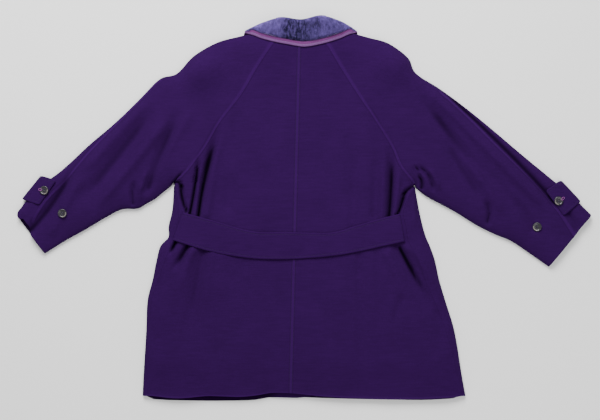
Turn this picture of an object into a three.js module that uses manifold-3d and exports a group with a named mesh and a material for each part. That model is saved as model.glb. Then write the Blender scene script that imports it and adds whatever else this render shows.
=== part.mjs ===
// Fur collar jacket, a three-quarter wool coat with raglan sleeves, laid flat on its front.
// Millimetres. X runs across the coat, Y from the hem to the collar, Z up from the surface it lies on.
// The back shows on top. Every cloth piece is a thin wall that rounds over at the coat's outline.

import * as THREE from 'three';
import { mergeVertices } from 'three/addons/utils/BufferGeometryUtils.js';
import Module from 'manifold-3d';

const wasm = await Module();
wasm.setup();

// Driving dimensions
const CLOTH = 2.2;             // melton wool
const SEAM_GAP = 0.4;          // across a seam, measured along a row
const RAGLAN_GAP = 0.5;        // across a raglan seam, which runs aslant, measured along X
const RAGLAN_WIDENED = 0.1;    // share of the seam in which its gap narrows from double
const STACK_GAP = 0.3;         // between layers that lie on each other
const EDGE_LIFT = 5;           // height of the outline's edge above the panel's underside
const TOP_REACH = 45;          // how far the upper layer takes to round over
const BOTTOM_REACH = 10;       // how far the lower layer takes to round over
const BODY_HEIGHT = 20;        // top of the back, over the surface
const HEM_LEVEL = -415;        // lowest point of the hem
const HEM_DROP = 6;            // how much flatter the coat is at its hem
const HEM_FADE = 90;           // length over which it flattens
const UNDERARM_SEAM = 3;       // the underarm seam lies this far in from the sleeve's edge
const UNDERARM_CREASE = 1;     // the sleeve's edge turns this far in from it
const CHAIN_END = 80;          // straight run of the outline past an open end
const ON_LINE = 0.3;           // a point this close to the outline lies on it
const NEAR_LINE = 1;           // and this close, the outline's own direction is steadier

const FUR = 8;                 // pile and skin of the collar
const COLLAR_ROOM = FUR + STACK_GAP;
const NECK_ROLL = 14;          // height of the collar's folded edge beside the neck
const BINDING_WIDTH = 10;
const BINDING_THICK = 3;

const BELT_THICK = 3.5;
const BELT_GAP = 0.8;          // over the crowns of the cloth beneath
const TAB_THICK = 2.8;
const TAB_REACH = 55;
const TAB_UNDER = 35;          // length of a cuff tab under the sleeve
const TAB_ROOM = TAB_THICK + 0.35;
const TAB_RAMP = 30;           // length over which the sleeve rises to make room for a tab

const FRONT_EDGE_LEFT = 16;    // front edge of the left front, which lies inside
const FRONT_EDGE_RIGHT = -44;  // front edge of the right front, which lies on the surface
const OVERLAP_RAISE = CLOTH + STACK_GAP;
const OVERLAP = {              // columns of each front in and beside the overlap, from its edge
  left: [FRONT_EDGE_LEFT, -14, FRONT_EDGE_RIGHT, -52, -76],
  right: [FRONT_EDGE_RIGHT, -14, FRONT_EDGE_LEFT, 24],
};

const BUTTON = {
  radius: 10.15,
  thick: 3.2,
  foot: 8.55,                  // radius of the flat underside
  waist: 1.6,                  // height at which it is widest
  crown: 9.45,                 // outer radius of the flat rim
  rim: 7.95,                   // inner radius of the flat rim
  floor: 7.05,                 // radius of the dished middle
  dish: 0.7,
  hole: 1.1,
  holeRing: 2.6,
  holeSides: 6,
  span: 8.12,                  // half the width over which it lies on the cloth
};

// Body outline, with how far the front wraps over onto the back before the side seam
const SIDE = {
  left: [
    { y: -412, x: -354, strip: 5 },
    { y: -368, x: -352, strip: 6 },
    { y: -267, x: -346, strip: 8 },
    { y: -201, x: -343, strip: 10 },
    { y: -157, x: -332, strip: 14 },
    { y: -112, x: -323, strip: 20 },
    { y: -81, x: -314, strip: 24 },
    { y: -63, x: -297, strip: 18 },
    { y: -40, x: -297, strip: 18 },
    { y: -5, x: -289, strip: 16 },
    { y: 49, x: -285, strip: 3 },
  ],
  right: [
    { y: -412, x: 357, strip: 8 },
    { y: -368, x: 349, strip: 10 },
    { y: -267, x: 332, strip: 20 },
    { y: -201, x: 312, strip: 26 },
    { y: -157, x: 299, strip: 32 },
    { y: -112, x: 289, strip: 38 },
    { y: -81, x: 278, strip: 44 },
    { y: -63, x: 270, strip: 42 },
    { y: -40, x: 263, strip: 38 },
    { y: -5, x: 255, strip: 36 },
    { y: 49, x: 245, strip: 3 },
  ],
};
const UNDERARM = { left: { x: -287, y: 54 }, right: { x: 245, y: 52 } };

// Heights at which the body's rows lie, shared by the fronts and the back so that the side seams match
const HEM_ROW = -412;
const BODY_ROWS = [-396, -362, -326, -290, -254, -220, -188, -160, -134, -110, -88, -66, -44, -22, 0, 24, 49];

// Sleeve stations from the cuff to the neck: under edge, over edge, and the front's wrap at the overarm
const SLEEVE = {
  left: [
    { k: 0, ux: -569, uy: -99, ox: -634, oy: -11, strip: 47 },
    { k: 1, ux: -523, uy: -70, ox: -586, oy: 43, strip: 34 },
    { k: 2, ux: -483, uy: -48, ox: -531, oy: 85, strip: 24 },
    { k: 3, ux: -436, uy: -20, ox: -472, oy: 140, strip: 14 },
    { k: 4, ux: -400, uy: -2, ox: -418, oy: 186, strip: 6 },
    { k: 5, ux: -365, uy: 0, ox: -360, oy: 241, strip: 3 },
    { k: 6, ux: -345, uy: 11, ox: -316, oy: 285, strip: 3 },
    { k: 7, ux: -330, uy: 19, ox: -278, oy: 297, strip: 3 },
    { k: 8, ux: -318, uy: 28, ox: -241, oy: 336, strip: 3 },
    { k: 9, ux: -306, uy: 38, ox: -191, oy: 364, strip: 3 },
    { k: 10, ux: -296, uy: 46, ox: -144, oy: 377, strip: 3 },
    { k: 11, ux: -290, uy: 51, ox: -117, oy: 383, strip: 3 },
  ],
  right: [
    { k: 0, ux: 540, uy: -128, ox: 634, oy: -14, strip: 61 },
    { k: 1, ux: 500, uy: -100, ox: 585, oy: 32, strip: 46 },
    { k: 2, ux: 458, uy: -72, ox: 530, oy: 78, strip: 33 },
    { k: 3, ux: 420, uy: -56, ox: 469, oy: 129, strip: 28 },
    { k: 4, ux: 380, uy: -36, ox: 415, oy: 175, strip: 24 },
    { k: 5, ux: 345, uy: -14, ox: 357, oy: 222, strip: 16 },
    { k: 6, ux: 315, uy: 3, ox: 300, oy: 264, strip: 8 },
    { k: 7, ux: 294, uy: 14, ox: 246, oy: 299, strip: 3 },
    { k: 8, ux: 279, uy: 22, ox: 231, oy: 331, strip: 3 },
    { k: 9, ux: 266, uy: 30, ox: 189, oy: 362, strip: 3 },
    { k: 10, ux: 256, uy: 38, ox: 145, oy: 375, strip: 3 },
    { k: 11, ux: 248, uy: 45, ox: 107, oy: 385, strip: 3 },
  ],
};
const SLEEVE_STATIONS = [0, 0.5, 1.1, 1.8, 2.5, 3.2, 4, 4.6, 5.3, 6, 6.6, 7.1, 7.6, 8.2, 9, 10, 11];

// Raglan seams from the underarm to the neck
const RAGLAN_BACK = {
  left: [
    { t: 0, x: -286, y: 58 },
    { t: 0.06, x: -263, y: 76 },
    { t: 0.16, x: -239, y: 106 },
    { t: 0.27, x: -214, y: 141 },
    { t: 0.43, x: -185, y: 191 },
    { t: 0.63, x: -138, y: 252 },
    { t: 0.82, x: -104, y: 310 },
    { t: 0.94, x: -78, y: 349 },
    { t: 1, x: -65, y: 367 },
  ],
  right: [
    { t: 0, x: 244, y: 56 },
    { t: 0.06, x: 235, y: 68 },
    { t: 0.15, x: 214, y: 94 },
    { t: 0.27, x: 197, y: 134 },
    { t: 0.45, x: 161, y: 193 },
    { t: 0.64, x: 119, y: 255 },
    { t: 0.81, x: 85, y: 308 },
    { t: 0.95, x: 57, y: 354 },
    { t: 1, x: 47, y: 367 },
  ],
};
const RAGLAN_FRONT = {
  left: [
    { t: 0, x: -286, y: 58 },
    { t: 0.15, x: -250, y: 92 },
    { t: 0.35, x: -205, y: 152 },
    { t: 0.6, x: -155, y: 232 },
    { t: 0.82, x: -112, y: 300 },
    { t: 1, x: -88, y: 345 },
  ],
  right: [
    { t: 0, x: 244, y: 56 },
    { t: 0.15, x: 218, y: 90 },
    { t: 0.35, x: 180, y: 150 },
    { t: 0.6, x: 135, y: 230 },
    { t: 0.82, x: 96, y: 300 },
    { t: 1, x: 74, y: 345 },
  ],
};
const RAGLAN_STEPS = [0, 0.012, 0.035, 0.075, 0.13, 0.2, 0.27, 0.34, 0.41, 0.48, 0.55, 0.62, 0.7, 0.78,
  0.86, 0.93, 1];
const FRONT_STEPS = [0, 0.05, 0.18, 0.34, 0.5, 0.66, 0.82, 1];
const FRONT_NECK = 296;        // height of the front neckline at the closure
const FRONT_NECK_CURVE = 1.6;
const HEM_EASE = 12;           // the hems meet at the side seam and part over this width

// Hems
const BACK_HEM = [
  { x: -354, y: -412 },
  { x: -300, y: -417 },
  { x: -170, y: -416 },
  { x: -70, y: -410 },
  { x: -10, y: -408 },
  { x: 97, y: -417 },
  { x: 200, y: -420 },
  { x: 300, y: -418 },
  { x: 357, y: -412 },
];
const FRONT_HEM = {
  left: [
    { x: -354, y: -413 },
    { x: -336, y: -419.5 },
    { x: -248, y: -423 },
    { x: -143, y: -423 },
    { x: -102, y: -421 },
    { x: -76, y: -416 },
    { x: -7, y: -417 },
    { x: 16, y: -414 },
  ],
  right: [
    { x: -44, y: -414 },
    { x: 60, y: -418 },
    { x: 197, y: -421 },
    { x: 274, y: -421.5 },
    { x: 342, y: -417 },
    { x: 357, y: -413 },
  ],
};
const CENTRE_BACK = { x: -9, y: 369, lean: 0.0248 };
const BACK_NECK = 367;         // height of the back neckline

// Back belt, sewn in at the side seams and sagging between them
const BELT = [
  { u: 0, tx: -270, ty: -8, bx: -284, by: -70 },
  { u: 1, tx: -193, ty: -27, bx: -200, by: -95 },
  { u: 2, tx: -112, ty: -49, bx: -115, by: -109 },
  { u: 3, tx: -30, ty: -51, bx: -31, by: -111 },
  { u: 4, tx: 60, ty: -52, bx: 62, by: -104 },
  { u: 5, tx: 112, ty: -38, bx: 118, by: -95 },
  { u: 6, tx: 166, ty: -22, bx: 172, by: -83 },
  { u: 7, tx: 211, ty: -11, bx: 222, by: -72 },
];

// Cuff tabs: the folded edge over the sleeve's over edge, and the sewn end on the back of the sleeve
const TAB = {
  left: [
    { v: 0, ex: -578, ey: 73, sx: -542, sy: 62 },
    { v: 1, ex: -620, ey: 21, sx: -580, sy: 8 },
  ],
  right: [
    { v: 0, ex: 567, ey: 63, sx: 531, sy: 40 },
    { v: 1, ex: 611, ey: 16, sx: 571, sy: -16 },
  ],
};
const TAB_LIFT = [
  { x: -583, y: 38, radius: 74 },
  { x: 573, y: 26, radius: 74 },
];
const BUTTONS = {
  tab_button_left: { x: -568, y: 40, onTab: 'left' },
  tab_button_right: { x: 559, y: 17, onTab: 'right' },
  sleeve_button_left: { x: -528, y: -10 },
  sleeve_button_right: { x: 513, y: -40 },
};

// Collar stations across the neck: lower edge, silhouette, height of the folded edge and of the fur's top
const COLLAR = [
  { s: 0, tx: -129, ty: 386, qx: -128, qy: 391, roll: 14, fur: 1.6, top: 18 },
  { s: 1, tx: -110, ty: 380, qx: -108, qy: 399, roll: 14, fur: 5, top: 27 },
  { s: 2, tx: -88, ty: 373.5, qx: -86, qy: 408, roll: 20, fur: 7, top: 33 },
  { s: 3, tx: -49, ty: 364.5, qx: -49, qy: 420, roll: 27, fur: 8, top: 37 },
  { s: 4, tx: -6, ty: 358.5, qx: -6, qy: 415, roll: 27, fur: 8, top: 36 },
  { s: 5, tx: 38, ty: 363, qx: 39, qy: 424, roll: 27, fur: 8, top: 37 },
  { s: 6, tx: 78, ty: 374.5, qx: 76, qy: 412, roll: 20, fur: 7, top: 33 },
  { s: 7, tx: 98, ty: 381, qx: 97, qy: 402, roll: 14, fur: 5, top: 27 },
  { s: 8, tx: 117, ty: 387, qx: 116, qy: 391, roll: 14, fur: 1.6, top: 18 },
];
const STAND = { from: 2.7, to: 5.3, foot: 18, thick: 6.5, neckline: 367.4, reach: 10 };
const FALL_REACH = 24;         // how far the fall takes to round over its folded edge
const FALL_SHARE = 0.95;       // and the most of its own width that this may take
const LEAF_REACH = 14;
const LEAF_ROLL_THICK = 0.6;   // how much of its thickness a leaf keeps at its rolled edge

// The collar's front leaves lie under the fronts: outer edge and neck edge
const LEAF = {
  left: [
    { s: 0, ox: -130, oy: 386, ix: -91, iy: 404 },
    { s: 1, ox: -143, oy: 340, ix: -80, iy: 360 },
    { s: 2, ox: -132, oy: 285, ix: -55, iy: 318 },
    { s: 3, ox: -95, oy: 232, ix: -24, iy: 290 },
  ],
  right: [
    { s: 0, ox: 118, oy: 388, ix: 79, iy: 404 },
    { s: 1, ox: 131, oy: 340, ix: 68, iy: 360 },
    { s: 2, ox: 120, oy: 285, ix: 43, iy: 318 },
    { s: 3, ox: 83, oy: 232, ix: 8, iy: 290 },
  ],
};
const NECK_LIFT = { x: -6, y: 325, rx: 178, ry: 150, ramp: 45 };

// Broad rises and hollows of the upper layer
const MOUNDS = [
  { x: -216, y: 305, rx: 46, ry: 42, rise: 14 }, // shoulder pad left
  { x: 205, y: 315, rx: 46, ry: 42, rise: 14 }, // shoulder pad right
  { x: -8, y: 360, rx: 130, ry: 40, rise: 6 }, // collar stand
  { x: -590, y: -30, rx: 70, ry: 80, rise: -5 }, // cuff left
  { x: 575, y: -50, rx: 70, ry: 80, rise: -5 }, // cuff right
];

// Folds: start, middle and end of the path, half width, and rise (below zero for a trough)
const FOLDS = [
  // Back, left half
  { ax: -197, ay: 162, mx: -212, my: 85, bx: -225, by: -9, width: 11, rise: -12 },
  { ax: -234, ay: 96, mx: -241, my: 46, bx: -248, by: -7, width: 10, rise: -9 },
  { ax: -124, ay: 276, mx: -155, my: 129, bx: -161, by: -9, width: 18, rise: -6 },
  { ax: -190, ay: 167, mx: -197, my: 80, bx: -199, by: -9, width: 12, rise: 4 },
  // Back, right half
  { ax: 195, ay: 129, mx: 195, my: 52, bx: 193, by: -14, width: 11, rise: -12 },
  { ax: 232, ay: 43, mx: 221, my: 19, bx: 208, by: -9, width: 10, rise: -8 },
  { ax: 157, ay: 129, mx: 158, my: 60, bx: 155, by: -14, width: 14, rise: -5 },
  { ax: 111, ay: 151, mx: 112, my: 60, bx: 107, by: -36, width: 14, rise: -4 },
  // Below the belt, left
  { ax: -268, ay: -91, mx: -284, my: -112, bx: -294, by: -150, width: 10, rise: -8 },
  { ax: -220, ay: -86, mx: -235, my: -245, bx: -249, by: -333, width: 16, rise: -7 },
  { ax: -256, ay: -106, mx: -276, my: -170, bx: -287, by: -245, width: 16, rise: 5 },
  { ax: -177, ay: -98, mx: -181, my: -180, bx: -183, by: -260, width: 22, rise: 3 },
  // Below the belt, right
  { ax: 219, ay: -84, mx: 250, my: -164, bx: 305, by: -267, width: 10, rise: -12 },
  { ax: 256, ay: -106, mx: 288, my: -180, bx: 316, by: -245, width: 12, rise: 6 },
  { ax: 197, ay: -113, mx: 214, my: -170, bx: 234, by: -223, width: 16, rise: 4 },
  { ax: 125, ay: -106, mx: 131, my: -304, bx: 135, by: -405, width: 14, rise: -5 },
  // Left sleeve
  { ax: -256, ay: 173, mx: -337, my: 107, bx: -375, by: 6, width: 11, rise: -8 },
  { ax: -305, ay: 151, mx: -333, my: 85, bx: -337, by: 34, width: 10, rise: -5 },
  { ax: -271, ay: 222, mx: -348, my: 151, bx: -421, by: 85, width: 13, rise: -7 },
  { ax: -353, ay: 213, mx: -425, my: 134, bx: -485, by: 68, width: 12, rise: -5 },
  { ax: -487, ay: 107, mx: -542, my: 28, bx: -590, by: -36, width: 10, rise: -7 },
  { ax: -227, ay: 228, mx: -315, my: 151, bx: -403, by: 63, width: 12, rise: 5 },
  // Right sleeve
  { ax: 257, ay: 250, mx: 360, my: 129, bx: 426, by: 8, width: 14, rise: -7 },
  { ax: 213, ay: 239, mx: 301, my: 129, bx: 367, by: 19, width: 12, rise: -4 },
  { ax: 241, ay: 83, mx: 263, my: 74, bx: 274, by: 42, width: 10, rise: -5 },
  { ax: 367, ay: 151, mx: 430, my: 80, bx: 468, by: 4, width: 14, rise: -5 },
  { ax: 246, ay: 272, mx: 367, my: 173, bx: 499, by: 41, width: 12, rise: 5 },
];
const FOLD_SAMPLES = 10;
const FOLD_ENDS = { start: 0.25, finish: 0.8 };   // shares of the path where a fold is at its full height
const LEAST_ROOM = 9;          // the upper layer stays this far above the lower one's underside

// Columns of the panels' grids
const BACK_COLUMNS = [0, 0.05, 0.11, 0.18, 0.25, 0.33, 0.41, 0.49, 0.58, 0.68, 0.79, 0.9, 1];
const FRONT_COLUMNS = [0.3, 0.55, 0.8, 1];
const ROLL_STEPS = [10, 6.3, 2.9, 0.6];
const STRIP_STEPS = [0.1, 0.35, 0.65, 1];
const COLLAR_STATIONS = [0, 0.5, 1, 1.5, 2, 2.4, 2.8, 3.2, 3.6, 4, 4.4, 4.8, 5.2, 5.6, 6, 6.5, 7, 7.5, 8];
const FALL_STEPS = [0, 0.3, 0.55, 0.75, 0.88, 0.96, 1];
const STAND_ANGLES = [Math.PI / 6, Math.PI / 3, Math.PI / 2];
const LEAF_STEPS = [0, 0.03, 0.09, 0.18, 0.32, 0.65, 1, 1.5, 2, 2.5, 3];
const LEAF_AIM = 0.32;         // station that a leaf's head rolls towards
const LEAF_COLUMNS = [0, 0.33, 0.67, 1];
const BELT_STATIONS = [0, 0.15, 0.35, 0.6, 1, 1.5, 2, 2.5, 3, 3.5, 4, 4.5, 5, 5.5, 6, 6.35, 6.7, 7];
const BELT_COLUMNS = [0, 0.33, 0.67, 1];
const TAB_ROWS = [0, 0.33, 0.67, 1];
const TAB_TOP_STEPS = [1, 0.75, 0.5, 0.3, 0.15, 0.05, 0];
const TAB_UNDER_REACH = 8;
const TAB_UNDER_STEPS = [1, 3, 5.5, TAB_UNDER_REACH, 20, TAB_UNDER];
const BUTTON_SIDES = 18;
const BUTTON_SEAT = 0.4;       // thread's play under a button

// Small mathematics
const clamp = (value, low, high) => Math.min(Math.max(value, low), high);
const mix = (a, b, f) => a + (b - a) * f;

function smooth(low, high, value) {
  const f = clamp((value - low) / (high - low), 0, 1);
  return f * f * (3 - 2 * f);
}

// Reads a column of a table at any key between its rows, along a smooth curve through the rows
function valueAt(rows, key, column, at) {
  const last = rows.length - 1;
  let i = 0;
  while (i < last - 1 && at > rows[i + 1][key]) i += 1;
  const a = rows[i];
  const b = rows[i + 1];
  const span = b[key] - a[key];
  const slope = (b[column] - a[column]) / span;
  const before = i > 0 ? (b[column] - rows[i - 1][column]) / (b[key] - rows[i - 1][key]) : slope;
  const after = i < last - 1 ? (rows[i + 2][column] - a[column]) / (rows[i + 2][key] - a[key]) : slope;
  const f = clamp((at - a[key]) / span, 0, 1);
  const f2 = f * f;
  const f3 = f2 * f;
  return (2 * f3 - 3 * f2 + 1) * a[column] + (f3 - 2 * f2 + f) * span * before
    + (3 * f2 - 2 * f3) * b[column] + (f3 - f2) * span * after;
}

const sideX = (side, y) => valueAt(SIDE[side], 'y', 'x', y);
const stripAt = (side, y) => valueAt(SIDE[side], 'y', 'strip', y);
const centreBack = (y) => CENTRE_BACK.x - (CENTRE_BACK.y - y) * CENTRE_BACK.lean;

function sleeveStation(side, k) {
  const rows = SLEEVE[side];
  const read = (column) => valueAt(rows, 'k', column, k);
  const under = { x: read('ux'), y: read('uy') };
  const over = { x: read('ox'), y: read('oy') };
  const length = Math.hypot(over.x - under.x, over.y - under.y);
  return { under, over, length, strip: read('strip') };
}

// Point of a sleeve station at a distance from its under edge
function alongStation(station, distance) {
  const f = distance / station.length;
  return { x: mix(station.under.x, station.over.x, f), y: mix(station.under.y, station.over.y, f) };
}

// The coat's outline as open chains, with the cloth on the right of each
function extended(points) {
  const reach = (from, to) => {
    const length = Math.hypot(to.x - from.x, to.y - from.y);
    const f = CHAIN_END / length;
    return { x: to.x + (to.x - from.x) * f, y: to.y + (to.y - from.y) * f };
  };
  const last = points.length - 1;
  return [reach(points[1], points[0]), ...points, reach(points[last - 1], points[last])];
}

function outlineChains() {
  const chains = [];
  for (const side of ['left', 'right']) {
    const body = [HEM_ROW, ...BODY_ROWS].map((y) => ({ x: sideX(side, y), y }));
    const stations = SLEEVE_STATIONS.map((k) => sleeveStation(side, k));
    const under = stations.map((station) => station.under).reverse();
    const lower = extended([...body, UNDERARM[side], ...under]);
    const upper = extended(stations.map((station) => station.over));
    if (side === 'left') chains.push(lower, upper);
    else chains.push(lower.reverse(), upper.reverse());
  }
  return chains;
}
const CHAINS = outlineChains();

// Distance of a point inside the outline from the nearest edge, and the direction that leads inwards
function edge(x, y) {
  let best = { away: Infinity };
  for (const chain of CHAINS) {
    for (let i = 0; i < chain.length - 1; i += 1) {
      const a = chain[i];
      const dx = chain[i + 1].x - a.x;
      const dy = chain[i + 1].y - a.y;
      const f = clamp(((x - a.x) * dx + (y - a.y) * dy) / (dx * dx + dy * dy), 0, 1);
      const away = Math.hypot(x - a.x - f * dx, y - a.y - f * dy);
      if (away < best.away) {
        const length = Math.hypot(dx, dy);
        const normal = { x: dy / length, y: -dx / length };
        const inside = (x - a.x) * normal.x + (y - a.y) * normal.y;
        best = { away, normal, inside, vertex: f === 0 || f === 1, nx: a.x + f * dx, ny: a.y + f * dy };
      }
    }
  }
  const { away, normal } = best;
  if (away < ON_LINE || (best.inside < 0 && !best.vertex)) return { away: 0, inX: normal.x, inY: normal.y };
  if (away < NEAR_LINE) return { away, inX: normal.x, inY: normal.y };
  return { away, inX: (x - best.nx) / away, inY: (y - best.ny) / away };
}

// Heights
function foldPath(fold) {
  const points = [];
  const cx = 2 * fold.mx - (fold.ax + fold.bx) / 2;
  const cy = 2 * fold.my - (fold.ay + fold.by) / 2;
  for (let i = 0; i <= FOLD_SAMPLES; i += 1) {
    const f = i / FOLD_SAMPLES;
    const g = 1 - f;
    points.push({
      x: g * g * fold.ax + 2 * f * g * cx + f * f * fold.bx,
      y: g * g * fold.ay + 2 * f * g * cy + f * f * fold.by,
    });
  }
  return points;
}
const FOLD_PATHS = FOLDS.map((fold) => ({ ...fold, path: foldPath(fold) }));

function foldHeight(fold, x, y) {
  let best = Infinity;
  let along = 0;
  for (let i = 0; i < FOLD_SAMPLES; i += 1) {
    const a = fold.path[i];
    const b = fold.path[i + 1];
    const dx = b.x - a.x;
    const dy = b.y - a.y;
    const f = clamp(((x - a.x) * dx + (y - a.y) * dy) / (dx * dx + dy * dy), 0, 1);
    const away = Math.hypot(x - a.x - f * dx, y - a.y - f * dy);
    if (away < best) {
      best = away;
      along = (i + f) / FOLD_SAMPLES;
    }
  }
  const taper = smooth(0, FOLD_ENDS.start, along) * smooth(1, FOLD_ENDS.finish, along);
  return fold.rise * taper * Math.exp(-((best / fold.width) ** 2));
}

function lift(x, y) {
  const neck = Math.hypot((x - NECK_LIFT.x) / NECK_LIFT.rx, (y - NECK_LIFT.y) / NECK_LIFT.ry);
  const past = (neck - 1) * NECK_LIFT.ry;
  let height = COLLAR_ROOM * smooth(NECK_LIFT.ramp, 0, past);
  for (const tab of TAB_LIFT) {
    const outside = Math.hypot(x - tab.x, y - tab.y) - tab.radius;
    height = Math.max(height, TAB_ROOM * smooth(TAB_RAMP, 0, outside));
  }
  return height;
}

function smoothHeight(x, y) {
  let height = BODY_HEIGHT - HEM_DROP * smooth(HEM_LEVEL + HEM_FADE, HEM_LEVEL, y);
  for (const mound of MOUNDS) {
    const f = ((x - mound.x) / mound.rx) ** 2 + ((y - mound.y) / mound.ry) ** 2;
    height += mound.rise * Math.exp(-f);
  }
  return height;
}

function fullHeight(x, y) {
  let height = smoothHeight(x, y);
  for (const fold of FOLD_PATHS) height += foldHeight(fold, x, y);
  return Math.max(height, lift(x, y) + LEAST_ROOM);
}

// A point of the upper layer, moved out of it by a distance
function upper(x, y, out, height = fullHeight) {
  const { away, inX, inY } = edge(x, y);
  const angle = Math.acos(1 - Math.min(away / TOP_REACH, 1));
  const seam = lift(x, y) + EDGE_LIFT;
  const side = out * Math.cos(angle);
  const z = seam + (height(x, y) - seam + out) * Math.sin(angle);
  return [x - side * inX, y - side * inY, z];
}

// A point of the lower layer, moved out of it by a distance
function lower(x, y, out, raise = 0) {
  const { away, inX, inY } = edge(x, y);
  const angle = Math.acos(1 - Math.min(away / BOTTOM_REACH, 1));
  const seam = lift(x, y) + EDGE_LIFT;
  const side = out * Math.cos(angle);
  const z = seam - (EDGE_LIFT + out) * Math.sin(angle) + raise;
  return [x - side * inX, y - side * inY, z];
}

const onTop = ({ x, y }) => ({ outer: upper(x, y, 0), inner: upper(x, y, -CLOTH) });
const below = ({ x, y }, raise = 0) => ({ outer: lower(x, y, 0, raise), inner: lower(x, y, -CLOTH, raise) });

// Closed wall from a grid of outer and inner points. A cell is left out where a corner is null.
function wallGeometry(grid) {
  const rows = grid.length;
  const columns = grid[0].length;
  const positions = [];
  const number = grid.map((row) => row.map((point) => {
    if (!point) return null;
    positions.push(...point.outer, ...point.inner);
    return positions.length / 3 - 2;
  }));
  const cell = (i, j) => i >= 0 && j >= 0 && i < rows - 1 && j < columns - 1
    && [number[i][j], number[i][j + 1], number[i + 1][j], number[i + 1][j + 1]].every((n) => n !== null);
  const index = [];
  const quad = (a, b, c, d) => index.push(a, b, c, a, c, d);
  for (let i = 0; i < rows - 1; i += 1) {
    for (let j = 0; j < columns - 1; j += 1) {
      if (!cell(i, j)) continue;
      const a = number[i][j];
      const b = number[i][j + 1];
      const c = number[i + 1][j + 1];
      const d = number[i + 1][j];
      quad(a, b, c, d);
      quad(a + 1, d + 1, c + 1, b + 1);
      if (!cell(i - 1, j)) quad(b, a, a + 1, b + 1);
      if (!cell(i, j + 1)) quad(c, b, b + 1, c + 1);
      if (!cell(i + 1, j)) quad(d, c, c + 1, d + 1);
      if (!cell(i, j - 1)) quad(a, d, d + 1, a + 1);
    }
  }
  return outward(positions, index);
}

// Geometry whose faces point out, whichever way the grid ran
function outward(positions, index) {
  const at = (n) => new THREE.Vector3(...positions.slice(3 * n, 3 * n + 3));
  let volume = 0;
  for (let i = 0; i < index.length; i += 3) {
    volume += at(index[i]).dot(at(index[i + 1]).cross(at(index[i + 2])));
  }
  if (volume < 0) {
    for (let i = 0; i < index.length; i += 3) [index[i + 1], index[i + 2]] = [index[i + 2], index[i + 1]];
  }
  const geometry = new THREE.BufferGeometry();
  geometry.setAttribute('position', new THREE.Float32BufferAttribute(positions, 3));
  geometry.setIndex(index);
  geometry.computeVertexNormals();
  return geometry;
}

// A raglan seam's gap widens where it starts at the underarm, because the layers turn down there
const raglanGap = (t) => RAGLAN_GAP * (1 + smooth(RAGLAN_WIDENED, 0, t));

const inwards = { left: 1, right: -1 };   // sign of X that leads from a side towards the middle

// Height of a hem, which starts at the side seam level with the other panel's
function hemY(hem, side, x) {
  const past = Math.abs(x - sideX(side, HEM_ROW)) - stripAt(side, HEM_ROW);
  return mix(HEM_ROW, valueAt(hem, 'x', 'y', x), smooth(0, HEM_EASE, past));
}

// Back panel: rows from the hem to the underarm, then along the raglan seam to the neck
function backGeometry(side) {
  const sign = inwards[side];
  const rows = [];
  const row = (start, end) => BACK_COLUMNS.map((f) => onTop({
    x: mix(start.x, end.x, f),
    y: mix(start.y, end.y, f),
  }));
  const seamStart = (y) => sideX(side, y) + sign * (stripAt(side, y) + SEAM_GAP / 2);
  const centre = (y) => centreBack(y) - sign * SEAM_GAP / 2;
  rows.push(BACK_COLUMNS.map((f) => {
    const x = mix(seamStart(HEM_ROW), centre(HEM_ROW), f);
    return onTop({ x, y: hemY(BACK_HEM, side, x) });
  }));
  for (const y of BODY_ROWS) rows.push(row({ x: seamStart(y), y }, { x: centre(y), y }));
  for (const t of RAGLAN_STEPS) {
    const x = valueAt(RAGLAN_BACK[side], 't', 'x', t) + sign * raglanGap(t) / 2;
    const y = valueAt(RAGLAN_BACK[side], 't', 'y', t);
    const yCentre = Math.min(y, BACK_NECK);
    rows.push(row({ x, y }, { x: centre(yCentre), y: yCentre }));
  }
  return wallGeometry(rows);
}

// Front panel: flat on the surface, rolling over the outline to the side seam, and up to the neckline
function frontGeometry(side) {
  const sign = inwards[side];
  const overlap = OVERLAP[side];
  const start = overlap[overlap.length - 1];
  const level = overlap[3];
  const raised = (x) => (side === 'left' ? OVERLAP_RAISE * smooth(start, level, x) : 0);
  const flat = (points) => points.map((point) => below(point, raised(point.x)));
  const panelRow = (outerX, yAt) => {
    const xs = [...overlap, ...FRONT_COLUMNS.map((f) => mix(start, outerX, f))];
    return flat(xs.map((x) => ({ x, y: yAt(x) })));
  };
  const rolledRow = (y, yAt) => {
    const edgeX = sideX(side, y);
    const strip = stripAt(side, y) - SEAM_GAP / 2;
    const bottom = panelRow(edgeX + sign * ROLL_STEPS[0], yAt);
    const roll = ROLL_STEPS.slice(1).map((d) => ({ x: edgeX + sign * d, y: yAt(edgeX + sign * d) }));
    const top = [0, ...STRIP_STEPS].map((f) => {
      const x = edgeX + sign * strip * f;
      return { x, y: yAt(x) };
    });
    return [...bottom, ...roll.map((point) => below(point)), ...top.map(onTop)];
  };
  const rows = [rolledRow(HEM_ROW, (x) => hemY(FRONT_HEM[side], side, x))];
  for (const y of BODY_ROWS) rows.push(rolledRow(y, () => y));
  const first = valueAt(RAGLAN_FRONT[side], 't', 'y', 0);
  for (const t of FRONT_STEPS) {
    const seamX = valueAt(RAGLAN_FRONT[side], 't', 'x', t) + sign * raglanGap(t) / 2;
    const seamY = valueAt(RAGLAN_FRONT[side], 't', 'y', t);
    const closureY = mix(first, FRONT_NECK, t);
    const yAt = (x) => {
      const f = clamp((x - level) / (seamX - level), 0, 1);
      return mix(closureY, seamY, f ** FRONT_NECK_CURVE);
    };
    const upperRow = panelRow(seamX, yAt);
    const missing = rows[0].length - upperRow.length;
    rows.push([...upperRow, ...Array(missing).fill(null)]);
  }
  return wallGeometry(rows);
}

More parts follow.
